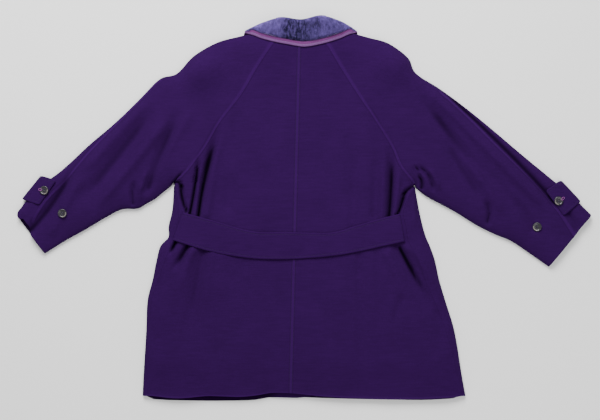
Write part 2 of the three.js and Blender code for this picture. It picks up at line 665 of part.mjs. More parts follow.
// Upper layer of a sleeve, from the cuff to the raglan seam
function sleeveBackGeometry(side) {
  const sign = inwards[side];
  const rows = SLEEVE_STATIONS.map((k) => {
    const station = sleeveStation(side, k);
    const start = UNDERARM_SEAM + SEAM_GAP / 2;
    const end = station.length - station.strip - SEAM_GAP / 2;
    return RAGLAN_STEPS.map((f) => onTop(alongStation(station, mix(start, end, f))));
  });
  rows.push(RAGLAN_STEPS.map((t) => onTop({
    x: valueAt(RAGLAN_BACK[side], 't', 'x', t) - sign * raglanGap(t) / 2,
    y: valueAt(RAGLAN_BACK[side], 't', 'y', t),
  })));
  return wallGeometry(rows);
}

// Lower layer of a sleeve, rolling over both edges to the underarm seam and the overarm seam
function sleeveFrontGeometry(side) {
  const sign = inwards[side];
  const rollUp = [...ROLL_STEPS].reverse();
  const fractions = FRONT_STEPS;
  const rows = SLEEVE_STATIONS.map((k) => {
    const station = sleeveStation(side, k);
    const at = (distance) => alongStation(station, distance);
    const reach = ROLL_STEPS[0];
    const strip = station.strip - SEAM_GAP / 2;
    const underStrip = [UNDERARM_SEAM - SEAM_GAP / 2, UNDERARM_CREASE, 0];
    const flat = fractions.map((f) => mix(reach, station.length - reach, f));
    return [
      ...underStrip.map((d) => onTop(at(d))),
      ...rollUp.slice(0, -1).map((d) => below(at(d))),
      ...flat.map((d) => below(at(d))),
      ...ROLL_STEPS.slice(1).map((d) => below(at(station.length - d))),
      ...[0, ...STRIP_STEPS].map((f) => onTop(at(station.length - strip * f))),
    ];
  });
  const before = 3 + rollUp.length - 1;
  const after = rows[0].length - before - fractions.length;
  const seam = fractions.map((t) => below({
    x: valueAt(RAGLAN_FRONT[side], 't', 'x', t) - sign * raglanGap(t) / 2,
    y: valueAt(RAGLAN_FRONT[side], 't', 'y', t),
  }));
  rows.push([...Array(before).fill(null), ...seam, ...Array(after).fill(null)]);
  return wallGeometry(rows);
}

// Collar fall with its stand: from the binding up over the folded edge and down inside to the neckline
function collarAt(s) {
  const read = (column) => valueAt(COLLAR, 's', column, s);
  const low = { x: read('tx'), y: read('ty') };
  const high = { x: read('qx'), y: read('qy') };
  const depth = Math.hypot(high.x - low.x, high.y - low.y);
  const band = Math.min(BINDING_WIDTH, depth / 2);
  const roll = Math.max(read('roll'), NECK_ROLL);
  return { low, high, depth, band, roll, fur: read('fur'), top: read('top') };
}

function acrossCollar(station, u) {
  const f = u / station.depth;
  return { x: mix(station.low.x, station.high.x, f), y: mix(station.low.y, station.high.y, f) };
}

// Point on the rounded fold, at a distance d from its edge, with the heights that its two faces reach
function foldPoint(station, d, angle, outerLevel, innerLevel) {
  const outer = acrossCollar(station, station.depth - d);
  const inner = acrossCollar(station, station.depth - d - station.fur * Math.cos(angle));
  const rise = Math.sin(angle);
  return {
    outer: [outer.x, outer.y, mix(station.roll, outerLevel, rise)],
    inner: [inner.x, inner.y, mix(station.roll, innerLevel, rise)],
  };
}

function collarGeometry() {
  const rows = COLLAR_STATIONS.map((s) => {
    const station = collarAt(s);
    const start = station.depth - station.band - STACK_GAP;
    const reach = Math.min(FALL_REACH, start * FALL_SHARE);
    const fall = FALL_STEPS.map((f) => {
      const d = start * (1 - f);
      const angle = Math.acos(1 - Math.min(d / reach, 1));
      return foldPoint(station, d, angle, station.top, station.top - station.fur);
    });
    if (s < STAND.from || s > STAND.to) return [...fall, ...Array(STAND_ANGLES.length + 1).fill(null)];
    const stand = STAND_ANGLES.map((angle) => {
      const d = STAND.reach * (1 - Math.cos(angle));
      return foldPoint(station, d, angle, STAND.foot, STAND.foot + STAND.thick);
    });
    const rise = (STAND.neckline - station.low.y) / (station.high.y - station.low.y);
    const end = station.depth * (1 - rise);
    stand.push(foldPoint(station, end, Math.PI / 2, STAND.foot, STAND.foot + STAND.thick));
    return [...fall, ...stand];
  });
  return wallGeometry(rows);
}

// Leather binding along the lower edge of the fall
function backBindingGeometry() {
  const rows = COLLAR_STATIONS.map((s) => {
    const station = collarAt(s);
    const under = upper(station.low.x, station.low.y, 0)[2] + 2 * STACK_GAP;
    return [0, 0.5, 1].map((f) => {
      const { x, y } = acrossCollar(station, station.band * f);
      return { outer: [x, y, under + BINDING_THICK], inner: [x, y, under] };
    });
  });
  return wallGeometry(rows);
}

// A front leaf of the collar: pile down on the surface, rolling up at the neck to meet the fall
function leafGeometry(side, from, to, thick) {
  const roll = NECK_ROLL - STACK_GAP;
  const row = (s) => {
    const read = (column) => valueAt(LEAF[side], 's', column, s);
    const outer = { x: read('ox'), y: read('oy') };
    const inner = { x: read('ix'), y: read('iy') };
    const width = Math.hypot(inner.x - outer.x, inner.y - outer.y);
    const end = to === null ? 1 : to / width;
    return LEAF_COLUMNS.map((f) => {
      const w = mix(from / width, end, f);
      return { x: mix(outer.x, inner.x, w), y: mix(outer.y, inner.y, w) };
    });
  };
  const heads = row(0);
  const ways = row(LEAF_AIM).map(({ x, y }, j) => {
    const length = Math.hypot(x - heads[j].x, y - heads[j].y);
    return { x: (x - heads[j].x) / length, y: (y - heads[j].y) / length };
  });
  const grid = LEAF_STEPS.map((s) => row(s).map(({ x, y }, j) => {
    const d = Math.hypot(x - heads[j].x, y - heads[j].y);
    const angle = Math.acos(1 - Math.min(d / LEAF_REACH, 1));
    const rise = Math.sin(angle);
    const shift = thick * LEAF_ROLL_THICK * Math.cos(angle);
    return {
      outer: [x, y, mix(roll, 0, rise)],
      inner: [x + shift * ways[j].x, y + shift * ways[j].y, mix(roll, thick, rise)],
    };
  }));
  return wallGeometry(grid);
}

// Back belt, two thicknesses of cloth, lying over the gathers
function beltGeometry() {
  const grid = BELT_STATIONS.map((u) => {
    const read = (column) => valueAt(BELT, 'u', column, u);
    return BELT_COLUMNS.map((v) => {
      const x = mix(read('tx'), read('bx'), v);
      const y = mix(read('ty'), read('by'), v);
      return {
        outer: upper(x, y, BELT_THICK + BELT_GAP, smoothHeight),
        inner: upper(x, y, BELT_GAP, smoothHeight),
      };
    });
  });
  return wallGeometry(grid);
}

// Cuff tab: sewn to the back of the sleeve, folded round the over edge and along the underside
const TAB_FOLD = TAB_ROOM + EDGE_LIFT;

function tabHeight(x, y, d) {
  const angle = Math.acos(1 - Math.min(d / TAB_REACH, 1));
  return { angle, level: mix(TAB_FOLD, smoothHeight(x, y) + 2 * STACK_GAP, Math.sin(angle)) };
}

function tabGeometry(side) {
  const [first, last] = TAB[side];
  const grid = TAB_ROWS.map((v) => {
    const fold = { x: mix(first.ex, last.ex, v), y: mix(first.ey, last.ey, v) };
    const sewn = { x: mix(first.sx, last.sx, v), y: mix(first.sy, last.sy, v) };
    const length = Math.hypot(sewn.x - fold.x, sewn.y - fold.y);
    const way = { x: (sewn.x - fold.x) / length, y: (sewn.y - fold.y) / length };
    const at = (d, z) => [fold.x + way.x * d, fold.y + way.y * d, z];
    const over = TAB_TOP_STEPS.map((f) => {
      const d = length * f;
      const { angle, level } = tabHeight(fold.x + way.x * d, fold.y + way.y * d, d);
      return {
        outer: at(d, level + TAB_THICK * Math.sin(angle)),
        inner: at(d + TAB_THICK * Math.cos(angle), level),
      };
    });
    const under = TAB_UNDER_STEPS.map((d) => {
      const angle = Math.acos(1 - Math.min(d / TAB_UNDER_REACH, 1));
      return {
        outer: at(d, mix(TAB_FOLD, 0, Math.sin(angle))),
        inner: at(d + TAB_THICK * Math.cos(angle), mix(TAB_FOLD, TAB_THICK, Math.sin(angle))),
      };
    });
    return [...over, ...under];
  });
  return wallGeometry(grid);
}

// Four-hole coat button: a rimmed disc turned about its axis, standing on z = 0
function solid(geometry) {
  const bare = geometry.clone();
  bare.deleteAttribute('normal');
  bare.deleteAttribute('uv');
  const merged = mergeVertices(bare, 1e-4);
  const vertProperties = new Float32Array(merged.attributes.position.array);
  const triVerts = new Uint32Array(merged.index.array);
  return new wasm.Manifold(new wasm.Mesh({ numProp: 3, vertProperties, triVerts }));
}

function fromSolid(shape) {
  const mesh = shape.getMesh();
  const geometry = new THREE.BufferGeometry();
  geometry.setAttribute('position', new THREE.Float32BufferAttribute(mesh.vertProperties, 3));
  geometry.setIndex([...mesh.triVerts]);
  geometry.computeVertexNormals();
  return geometry;
}

function buttonGeometry() {
  const { radius, thick, foot, waist, crown, rim, floor, dish, hole, holeRing, holeSides } = BUTTON;
  const profile = [
    [0, 0],
    [foot, 0],
    [radius, waist],
    [crown, thick],
    [rim, thick],
    [floor, thick - dish],
    [0, thick - dish],
  ].map(([x, y]) => new THREE.Vector2(x, y));
  const disc = new THREE.LatheGeometry(profile, BUTTON_SIDES).rotateX(Math.PI / 2);
  let shape = solid(disc);
  for (let i = 0; i < 4; i += 1) {
    const angle = Math.PI / 4 + (i * Math.PI) / 2;
    const drill = new THREE.CylinderGeometry(hole, hole, 3 * thick, holeSides).rotateX(Math.PI / 2);
    drill.translate(holeRing * Math.cos(angle), holeRing * Math.sin(angle), thick / 2);
    shape = shape.subtract(solid(drill));
  }
  return fromSolid(shape);
}

// Height of what a button is sewn to
function buttonSeat({ onTab }, x, y) {
  if (!onTab) return upper(x, y, 0)[2];
  const [first, last] = TAB[onTab];
  const length = Math.hypot(last.ex - first.ex, last.ey - first.ey);
  const cross = (last.ex - first.ex) * (y - first.ey) - (last.ey - first.ey) * (x - first.ex);
  const { angle, level } = tabHeight(x, y, Math.abs(cross) / length);
  return level + TAB_THICK * Math.sin(angle);
}

function seatButton(mesh, place) {
  const { x, y } = place;
  const { span } = BUTTON;
  const slopeX = (buttonSeat(place, x + span, y) - buttonSeat(place, x - span, y)) / (2 * span);
  const slopeY = (buttonSeat(place, x, y + span) - buttonSeat(place, x, y - span)) / (2 * span);
  const normal = new THREE.Vector3(-slopeX, -slopeY, 1).normalize();
  mesh.quaternion.setFromUnitVectors(new THREE.Vector3(0, 0, 1), normal);
  mesh.position.set(x, y, buttonSeat(place, x, y)).addScaledVector(normal, BUTTON_SEAT);
}

// Finishes
const finish = (color, roughness) => new THREE.MeshStandardMaterial({ color, roughness, metalness: 0 });
const WOOL = finish('#34195c', 0.95);
const WOOL_TRIM = finish('#381c62', 0.95);
const PLUSH = finish('#4c4396', 1);
const LEATHER = finish('#8a4a98', 0.6);
const HORN = finish('#25242c', 0.35);

const group = new THREE.Group();

function add(name, geometry, material) {
  const mesh = new THREE.Mesh(geometry, material);
  mesh.name = name;
  group.add(mesh);
  return mesh;
}

for (const side of ['left', 'right']) {
  add(`back_${side}`, backGeometry(side), WOOL);
  add(`front_${side}`, frontGeometry(side), WOOL);
  add(`sleeve_back_${side}`, sleeveBackGeometry(side), WOOL);
  add(`sleeve_front_${side}`, sleeveFrontGeometry(side), WOOL);
  add(`cuff_tab_${side}`, tabGeometry(side), WOOL_TRIM);
  add(`collar_leaf_${side}`, leafGeometry(side, BINDING_WIDTH + STACK_GAP, null, FUR), PLUSH);
  add(`binding_leaf_${side}`, leafGeometry(side, 0, BINDING_WIDTH, BINDING_THICK), LEATHER);
}
add('collar_back', collarGeometry(), PLUSH);
add('binding_back', backBindingGeometry(), LEATHER);
add('back_belt', beltGeometry(), WOOL_TRIM);
for (const [name, place] of Object.entries(BUTTONS)) seatButton(add(name, buttonGeometry(), HORN), place);

export default group;
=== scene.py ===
"""Fur collar jacket laid flat on its front: wool, fur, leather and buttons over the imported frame."""

import math

import bpy
import numpy as np
from bpy.props import FloatProperty, FloatVectorProperty, IntProperty, PointerProperty
from bpy.types import Operator, Panel, PropertyGroup
from mathutils import Matrix, Vector


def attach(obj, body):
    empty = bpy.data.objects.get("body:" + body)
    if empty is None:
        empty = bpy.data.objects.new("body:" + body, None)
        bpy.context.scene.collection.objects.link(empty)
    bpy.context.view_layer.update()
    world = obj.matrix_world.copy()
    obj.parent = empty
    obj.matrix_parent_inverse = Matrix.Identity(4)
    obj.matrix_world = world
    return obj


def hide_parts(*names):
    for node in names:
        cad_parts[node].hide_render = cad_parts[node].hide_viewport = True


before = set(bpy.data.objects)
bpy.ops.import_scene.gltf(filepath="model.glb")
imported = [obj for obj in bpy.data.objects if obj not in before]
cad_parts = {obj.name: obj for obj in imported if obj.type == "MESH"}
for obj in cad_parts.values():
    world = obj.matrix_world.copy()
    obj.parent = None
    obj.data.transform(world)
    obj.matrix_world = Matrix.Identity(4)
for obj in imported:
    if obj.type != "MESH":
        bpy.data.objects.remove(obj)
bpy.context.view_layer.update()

bl_info = {
    "name": "Fur Collar Jacket",
    "version": (1, 0, 0),
    "blender": (4, 5, 0),
    "location": "View3D > Sidebar > Jacket",
    "description": "Builds a wool jacket with a fur collar, laid flat with its back up",
    "category": "Object",
}

BODY = "root"
SIDES = ("left", "right")
INWARDS = {"left": 1, "right": -1}
MM = 0.001
SEED = 11


def table(columns, *rows):
    """A short table as one array for each named column."""
    return dict(zip(columns.split(), np.array(rows, dtype=float).T))


# Walls and gaps, in millimetres as all lengths below
CLOTH = 2.2
SEAM_GAP = 0.06
RAGLAN_GAP = 0.08
STACK_GAP = 0.3
EDGE_LIFT = 5
TOP_REACH = 45
BOTTOM_REACH = 10
BODY_HEIGHT = 20
HEM_DROP = 6
HEM_FADE = 90
HEM_ROW = -412
HEM_EASE = 12
ARM_LEVEL = 49
UNDERARM_SEAM = 3
CHAIN_END = 80
CHAIN_PITCH = 14
CHAIN_STATIONS = 34
OUTSIDE_BAND = 0.3
LEAST_ROOM = 6

FUR = 8
NECK_ROLL = 14
FALL_REACH = 24
LEAF_REACH = 14
LEAF_ROLL_THICK = 0.6
BINDING_WIDTH = 12.5
BINDING_THICK = 3
BELT_THICK = 3.5
BELT_GAP = 0.8
TAB_THICK = 2.8
TAB_REACH = 55
TAB_UNDER = 35
TAB_UNDER_REACH = 8
TAB_ROOM = TAB_THICK + 0.35
TAB_FOLD = TAB_ROOM + EDGE_LIFT
COLLAR_ROOM = FUR + STACK_GAP

OVERLAP_RAISE = CLOTH + STACK_GAP
OVERLAP_COLUMNS = {"left": [16, -14, -44, -52, -76], "right": [-44, -14, 16, 24]}

# Body outline, with how far the front wraps over onto the back before the side seam
SIDE = {
    "left": table(
        "y x strip",
        (-412, -354, 5), (-368, -352, 6), (-267, -346, 8), (-201, -343, 10), (-157, -332, 14),
        (-112, -323, 20),
        (-81, -314, 24), (-63, -297, 18), (-40, -297, 18), (-5, -289, 16), (49, -285, 3),
    ),
    "right": table(
        "y x strip",
        (-412, 357, 8), (-368, 349, 10), (-267, 332, 20), (-201, 312, 26), (-157, 299, 32), (-112, 289, 38),
        (-81, 278, 44), (-63, 270, 42), (-40, 263, 38), (-5, 255, 36), (49, 245, 3),
    ),
}
UNDERARM = {"left": (-287, 54), "right": (245, 52)}

# Sleeve stations from the cuff to the neck: under edge, over edge, and the front's wrap at the overarm
SLEEVE = {
    "left": table(
        "k ux uy ox oy strip",
        (0, -569, -99, -634, -11, 47), (1, -523, -70, -586, 43, 34), (2, -483, -48, -531, 85, 24),
        (3, -436, -20, -472, 140, 14), (4, -400, -2, -418, 186, 6), (5, -365, 0, -360, 241, 3),
        (6, -345, 11, -316, 285, 3), (7, -330, 19, -278, 297, 3), (8, -318, 28, -241, 336, 3),
        (9, -306, 38, -191, 364, 3), (10, -296, 46, -144, 377, 3), (11, -290, 51, -117, 383, 3),
    ),
    "right": table(
        "k ux uy ox oy strip",
        (0, 540, -128, 634, -14, 61), (1, 500, -100, 585, 32, 46), (2, 458, -72, 530, 78, 33),
        (3, 420, -56, 469, 129, 28), (4, 380, -36, 415, 175, 24), (5, 345, -14, 357, 222, 16),
        (6, 315, 3, 300, 264, 8), (7, 294, 14, 246, 299, 3), (8, 279, 22, 231, 331, 3),
        (9, 266, 30, 189, 362, 3), (10, 256, 38, 145, 375, 3), (11, 248, 45, 107, 385, 3),
    ),
}
LAST_STATION = 11

# Raglan seams from the underarm to the neck
RAGLAN_BACK = {
    "left": table(
        "t x y", (0, -286, 58), (0.06, -263, 76), (0.16, -239, 106), (0.27, -214, 141), (0.43, -185, 191),
        (0.63, -138, 252), (0.82, -104, 310), (0.94, -78, 349), (1, -65, 367),
    ),
    "right": table(
        "t x y", (0, 244, 56), (0.06, 235, 68), (0.15, 214, 94), (0.27, 197, 134), (0.45, 161, 193),
        (0.64, 119, 255), (0.81, 85, 308), (0.95, 57, 354), (1, 47, 367),
    ),
}
RAGLAN_FRONT = {
    "left": table(
        "t x y", (0, -286, 58), (0.15, -250, 92), (0.35, -205, 152), (0.6, -155, 232), (0.82, -112, 300),
        (1, -88, 345),
    ),
    "right": table(
        "t x y", (0, 244, 56), (0.15, 218, 90), (0.35, 180, 150), (0.6, 135, 230), (0.82, 96, 300),
        (1, 74, 345),
    ),
}
FRONT_NECK = 296
FRONT_NECK_CURVE = 1.6
BACK_NECK = 367

# Hems and the centre back seam
BACK_HEM = table(
    "x y", (-354, -412), (-335, -411.5), (-287, -416.5), (-258, -416), (-213, -411.8), (-176, -412.6),
    (-139, -413.6), (-105, -410.5), (-70, -405), (-34, -405), (0, -408), (36, -412), (97, -416), (200, -419),
    (300, -417), (357, -412),
)
FRONT_HEM = {
    "left": table(
        "x y", (-354, -413), (-336, -419.5), (-248, -423), (-143, -423), (-102, -421), (-76, -416),
        (-7, -417),
        (16, -414),
    ),
    "right": table("x y", (-44, -414), (60, -418), (197, -421), (274, -421.5), (342, -417), (357, -413)),
}
CENTRE_BACK = {"x": -9, "y": 369, "lean": 0.0248}

# Back belt, cuff tabs, buttons and buttonholes
BELT = table(
    "u tx ty bx by", (0, -263, -8, -285, -70), (1, -193, -27, -200, -95), (2, -112, -49, -115, -109),
    (3, -30, -51, -31, -111), (4, 60, -52, 62, -104), (5, 112, -38, 118, -95), (6, 166, -22, 172, -83),
    (7, 211, -11, 222, -72),
)
TAB = {
    "left": table("v ex ey sx sy", (0, -578, 73, -542, 62), (1, -620, 21, -580, 8)),
    "right": table("v ex ey sx sy", (0, 567, 63, 531, 40), (1, 611, 16, 571, -16)),
}
TAB_LIFT = table("x y radius", (-583, 38, 74), (573, 26, 74))
BUTTON_PLACES = {
    "tab_button_left": (-568, 40, "left"),
    "tab_button_right": (559, 17, "right"),
    "sleeve_button_left": (-528, -10, None),
    "sleeve_button_right": (513, -40, None),
}

# Collar stations across the neck: lower edge, silhouette, height of the folded edge and of the fur's top
COLLAR = table(
    "s tx ty qx qy roll fur top",
    (0, -129, 386, -128, 391, 14, 1.6, 18), (1, -110, 380, -108, 402, 14, 5, 27),
    (2, -88, 371.5, -86, 411, 20, 7, 33), (3, -49, 362, -49, 420, 27, 8, 37),
    (4, -2, 356, -5, 415, 27, 8, 36), (5, 38, 360, 39, 424, 27, 8, 37),
    (6, 78, 372, 76, 415, 20, 7, 33), (7, 98, 381, 97, 405, 14, 5, 27),
    (8, 117, 387, 116, 391, 14, 1.6, 18),
)
STAND = {"from": 2.7, "to": 5.3, "foot": 18, "thick": 6.5, "neckline": 367.4, "reach": 10}
LEAF = {
    "left": table(
        "s ox oy ix iy", (0, -130, 386, -91, 404), (1, -143, 340, -80, 360), (2, -132, 285, -55, 318),
        (3, -95, 232, -24, 290),
    ),
    "right": table(
        "s ox oy ix iy", (0, 118, 388, 79, 404), (1, 131, 340, 68, 360), (2, 120, 285, 43, 318),
        (3, 83, 232, 8, 290),
    ),
}
NECK_LIFT = {"x": -6, "y": 325, "rx": 178, "ry": 150, "ramp": 45}

# Broad rises and hollows of the upper layer: shoulder pads, collar stand and cuffs
MOUNDS = table(
    "x y rx ry rise",
    (-216, 305, 46, 42, 14), (205, 315, 46, 42, 14), (-8, 360, 130, 40, 6), (-590, -30, 70, 80, -5),
    (575, -50, 70, 80, -5),
)

# Folds: start, middle and end of the path, half width at both ends, rise (below zero for a trough), and
# the shares of its length over which it rises at the start and fades at the end
FOLDS = table(
    "ax ay mx my bx by width narrow rise fade_in fade_out",
    # Gathers above the belt, left
    (-176, 197, -212.5, 87, -231, -22, 9.5, 3.0, -14, 0.5, 0.02),
    (-232, 120, -237, 58, -251, -20, 3.2, 2.6, -12, 0.35, 0.02),
    (-288, 52, -277, 58, -267, 46, 3.4, 4, -10, 0.1, 0.15),
    (-267, 54, -267.5, 25, -255, -9, 5, 2.2, -12, 0.1, 0.05),
    (-292, 47, -277, 68, -256, 84, 3, 1.8, -8, 0.05, 0.5),
    (-221, 110, -226, 45, -240, -20, 6, 5, 3, 0.4, 0.02),
    (-184, 167, -197, 80, -213, -20, 10, 8, 4, 0.4, 0.02),
    (-124, 276, -155, 129, -164, -20, 20, 14, -3, 0.4, 0.1),
    (-70, 250, -76, 130, -72, 10, 22, 22, -1.5, 0.3, 0.3),
    # Gathers above the belt, right
    (190, 165, 191, 70, 186, -26, 9, 5, -8, 0.5, 0.02),
    (197, 120, 194, 50, 189, -26, 3.4, 2.2, -5, 0.4, 0.02),
    (246, 50, 233, 44, 221, 33, 3.2, 4.2, -10, 0.1, 0.15),
    (222, 38, 217, 14, 204, -20, 4.4, 2.4, -12, 0.1, 0.02),
    (211, 110, 207, 45, 198, -20, 7, 5, 4, 0.4, 0.02),
    (157, 135, 158, 60, 154, -26, 12, 9, -4, 0.4, 0.02),
    (111, 151, 112, 60, 106, -50, 14, 10, -3, 0.4, 0.02),
    (173, 110, 173, 40, 170, -26, 8, 6, 3, 0.4, 0.02),
    (50, 240, 56, 120, 48, 10, 20, 20, -1.5, 0.3, 0.3),
    (242, 24, 244, -6, 246, -40, 4, 4, 2.5, 0.3, 0.3),
    # Gathers below the belt, left
    (-275, -60, -284, -80, -295, -104, 4.2, 3.4, -12, 0.02, 0.4),
    (-251, -72, -267, -104, -293, -144, 5.5, 7, -10, 0.02, 0.5),
    (-217, -76, -240, -180, -256, -335, 9, 15, -6, 0.05, 0.5),
    (-180, -88, -183, -170, -185, -260, 20, 22, 3, 0.05, 0.5),
    (-238, -84, -262, -140, -282, -230, 8, 14, 5, 0.05, 0.5),
    (-73, -304, -74, -350, -73, -425, 18, 18, -2.5, 0.4, 0.02),
    (-130, -102, -136, -230, -142, -330, 20, 22, -1.5, 0.1, 0.4),
    (-196, -90, -212, -170, -222, -270, 9, 12, 3, 0.05, 0.5),
    # Gathers below the belt, right
    (121, -90, 124, -260, 127, -425, 8, 12, -2.6, 0.05, 0.1),
    (54, -172, 56, -250, 56, -333, 10, 12, -1.8, 0.3, 0.4),
    (194, -68, 242, -152, 304, -268, 9, 14, -5.5, 0.1, 0.6),
    (208, -78, 242, -142, 290, -226, 3.4, 5, -7.5, 0.1, 0.7),
    (220, -78, 276, -142, 318, -245, 9, 11, 5, 0.1, 0.5),
    (180, -90, 208, -160, 232, -230, 10, 14, 4, 0.05, 0.5),
    (214, -180, 208, -220, 192, -262, 9, 9, -3, 0.3, 0.4),
    (160, -85, 166, -180, 172, -270, 10, 15, -2, 0.05, 0.4),
    (286, -210, 302, -262, 300, -330, 10, 14, -3.5, 0.3, 0.5),
    # Left sleeve
    (-264, 236, -311, 124, -348, 26, 14, 8.5, -8, 0.35, 0.12),
    (-236, 226, -292, 136, -332, 52, 12, 10, 3.5, 0.2, 0.2),
    (-366, 66, -376, 34, -373, 4, 5, 4.5, -7, 0.3, 0.1),
    (-290, 208, -368, 106, -462, -6, 11, 11, 6, 0.25, 0.2),
    (-300, 262, -404, 122, -512, -8, 15, 14, -7, 0.35, 0.3),
    (-335, 246, -416, 156, -484, 80, 11, 10, 4.5, 0.25, 0.2),
    (-366, 236, -428, 172, -480, 120, 9, 8, -3, 0.25, 0.25),
    (-500, 106, -540, 28, -606, -52, 7, 10, -9, 0.4, 0.02),
    (-478, 76, -512, 24, -556, -66, 10, 10, 4, 0.3, 0.1),
    (-338, 90, -352, 60, -358, 30, 6, 6, 3, 0.3, 0.3),
    (-350, 60, -358, 36, -356, 12, 6, 6, 3, 0.3, 0.3),
    (-588, 24, -602, 6, -618, -18, 9, 9, 3, 0.3, 0.1),
    # Right sleeve
    (230, 276, 348, 138, 478, -10, 14, 12, -8.5, 0.35, 0.25),
    (285, 186, 345, 92, 400, 6, 14, 10, -6, 0.4, 0.25),
    (394, 22, 408, -6, 402, -38, 6, 5, -7, 0.3, 0.1),
    (298, 214, 380, 106, 452, 16, 10, 10, 4.5, 0.25, 0.2),
    (234, 84, 268, 80, 286, 36, 3.2, 4.2, -7, 0.2, 0.1),
    (247, 73, 259, 63, 259, 42, 3, 4.6, -10, 0.35, 0.05),
    (454, 26, 484, -10, 508, -52, 9, 9, -4.5, 0.3, 0.05),
    (262, 276, 396, 136, 536, -2, 9, 10, 5.5, 0.2, 0.1),
    (300, 266, 440, 134, 562, 2, 5, 8, -9.5, 0.12, 0.05),
    (266, 90, 288, 70, 299, 36, 5, 6, 3.5, 0.3, 0.2),
    (350, 120, 400, 50, 440, -16, 9, 9, 3, 0.3, 0.2),
    (574, 2, 590, -22, 606, -50, 6, 7, -6, 0.15, 0.1),
)
FOLD_SAMPLES = 12

# Small mathematics, on arrays


def mix(a, b, f):
    return a + (b - a) * f


def smooth(low, high, value):
    f = np.clip((value - low) / (high - low), 0, 1)
    return f * f * (3 - 2 * f)


def read(rows, key, column, at):
    """A column of a table at any key between its rows, along a smooth curve through the rows."""
    keys, values = rows[key], rows[column]
    at = np.asarray(at, dtype=float)
    last = len(keys) - 1
    i = np.clip(np.searchsorted(keys, at, side="left") - 1, 0, last - 1)
    span = keys[i + 1] - keys[i]
    rise = values[i + 1] - values[i]
    before = np.maximum(i - 1, 0)
    after = np.minimum(i + 2, last)
    slope_in = (values[i + 1] - values[before]) / (keys[i + 1] - keys[before])
    slope_out = (values[after] - values[i]) / (keys[after] - keys[i])
    f = np.clip((at - keys[i]) / span, 0, 1)
    f2, f3 = f * f, f * f * f
    return (
        values[i]
        + (3 * f2 - 2 * f3) * rise
        + (f3 - 2 * f2 + f) * span * slope_in
        + (f3 - f2) * span * slope_out
    )


def read_point(rows, key, prefix, at):
    """A point from the two columns of a table that start with a prefix."""
    return np.array([read(rows, key, prefix + axis, at) for axis in "xy"])


def steps(start, end, pitch):
    """Values from start to end, about a pitch apart."""
    return np.linspace(start, end, max(round((end - start) / pitch), 1) + 1)


def bezier(row, i):
    """Points of fold i, along a parabola through its three points."""
    f = np.linspace(0, 1, FOLD_SAMPLES + 1)
    g = 1 - f
    points = []
    for axis in "xy":
        a, m, b = row["a" + axis][i], row["m" + axis][i], row["b" + axis][i]
        points.append(g * g * a + 2 * f * g * (2 * m - (a + b) / 2) + f * f * b)
    return np.stack(points, axis=-1)


def nearest(a, b, x, y):
    """Share of the way from a to b where points are nearest to that line, the place there and how far."""
    dx, dy = b - a
    f = np.clip(((x - a[0]) * dx + (y - a[1]) * dy) / (dx * dx + dy * dy), 0, 1)
    px, py = a[0] + f * dx, a[1] + f * dy
    return f, px, py, np.hypot(x - px, y - py)


def along_path(path, x, y):
    """Distance of points from a path, and how far along it their nearest points are."""
    best = np.full(np.shape(x), np.inf)
    along = np.zeros(np.shape(x))
    for i, (a, b) in enumerate(zip(path[:-1], path[1:])):
        f, _, _, away = nearest(a, b, x, y)
        closer = away < best
        best = np.where(closer, away, best)
        along = np.where(closer, (i + f) / (len(path) - 1), along)
    return best, along


def run_along(points):
    """Distance along a line of points from its first to each of them."""
    return np.concatenate([[0], np.cumsum(np.hypot(*np.diff(points, axis=0).T))])


def columns_of(rows):
    return [np.array(column) for column in zip(*rows)]


# The coat's outline

def side_x(side, y):
    return read(SIDE[side], "y", "x", y)


def strip_at(side, y):
    return read(SIDE[side], "y", "strip", y)


def centre_back(y):
    return CENTRE_BACK["x"] - (CENTRE_BACK["y"] - y) * CENTRE_BACK["lean"]


def sleeve_station(side, k):
    """Under edge, over edge, length across and overarm wrap of a sleeve at station k."""
    rows = SLEEVE[side]
    under, over = (read_point(rows, "k", prefix, k) for prefix in "uo")
    length = math.hypot(*(over - under))
    return {"under": under, "over": over, "length": length, "strip": float(read(rows, "k", "strip", k))}


def along_station(station, distance):
    f = np.asarray(distance, dtype=float) / station["length"]
    return [mix(station["under"][axis], station["over"][axis], f) for axis in (0, 1)]


def extended(points):
    """A chain of points, run on straight past both ends."""
    points = np.array(points)

    def beyond(origin, end):
        way = end - origin
        return end + way * (CHAIN_END / math.hypot(*way))

    return np.vstack([beyond(points[1], points[0]), points, beyond(points[-2], points[-1])])


def outline_chains():
    chains = []
    levels = steps(HEM_ROW, ARM_LEVEL, CHAIN_PITCH)
    stations = np.linspace(0, LAST_STATION, CHAIN_STATIONS)
    for side in SIDES:
        body = [(float(side_x(side, y)), y) for y in levels]
        across = [sleeve_station(side, k) for k in stations]
        lower = extended(body + [UNDERARM[side]] + [s["under"] for s in reversed(across)])
        upper = extended([s["over"] for s in across])
        if side == "right":
            lower, upper = lower[::-1], upper[::-1]
        chains += [lower, upper]
    return chains


CHAINS = outline_chains()


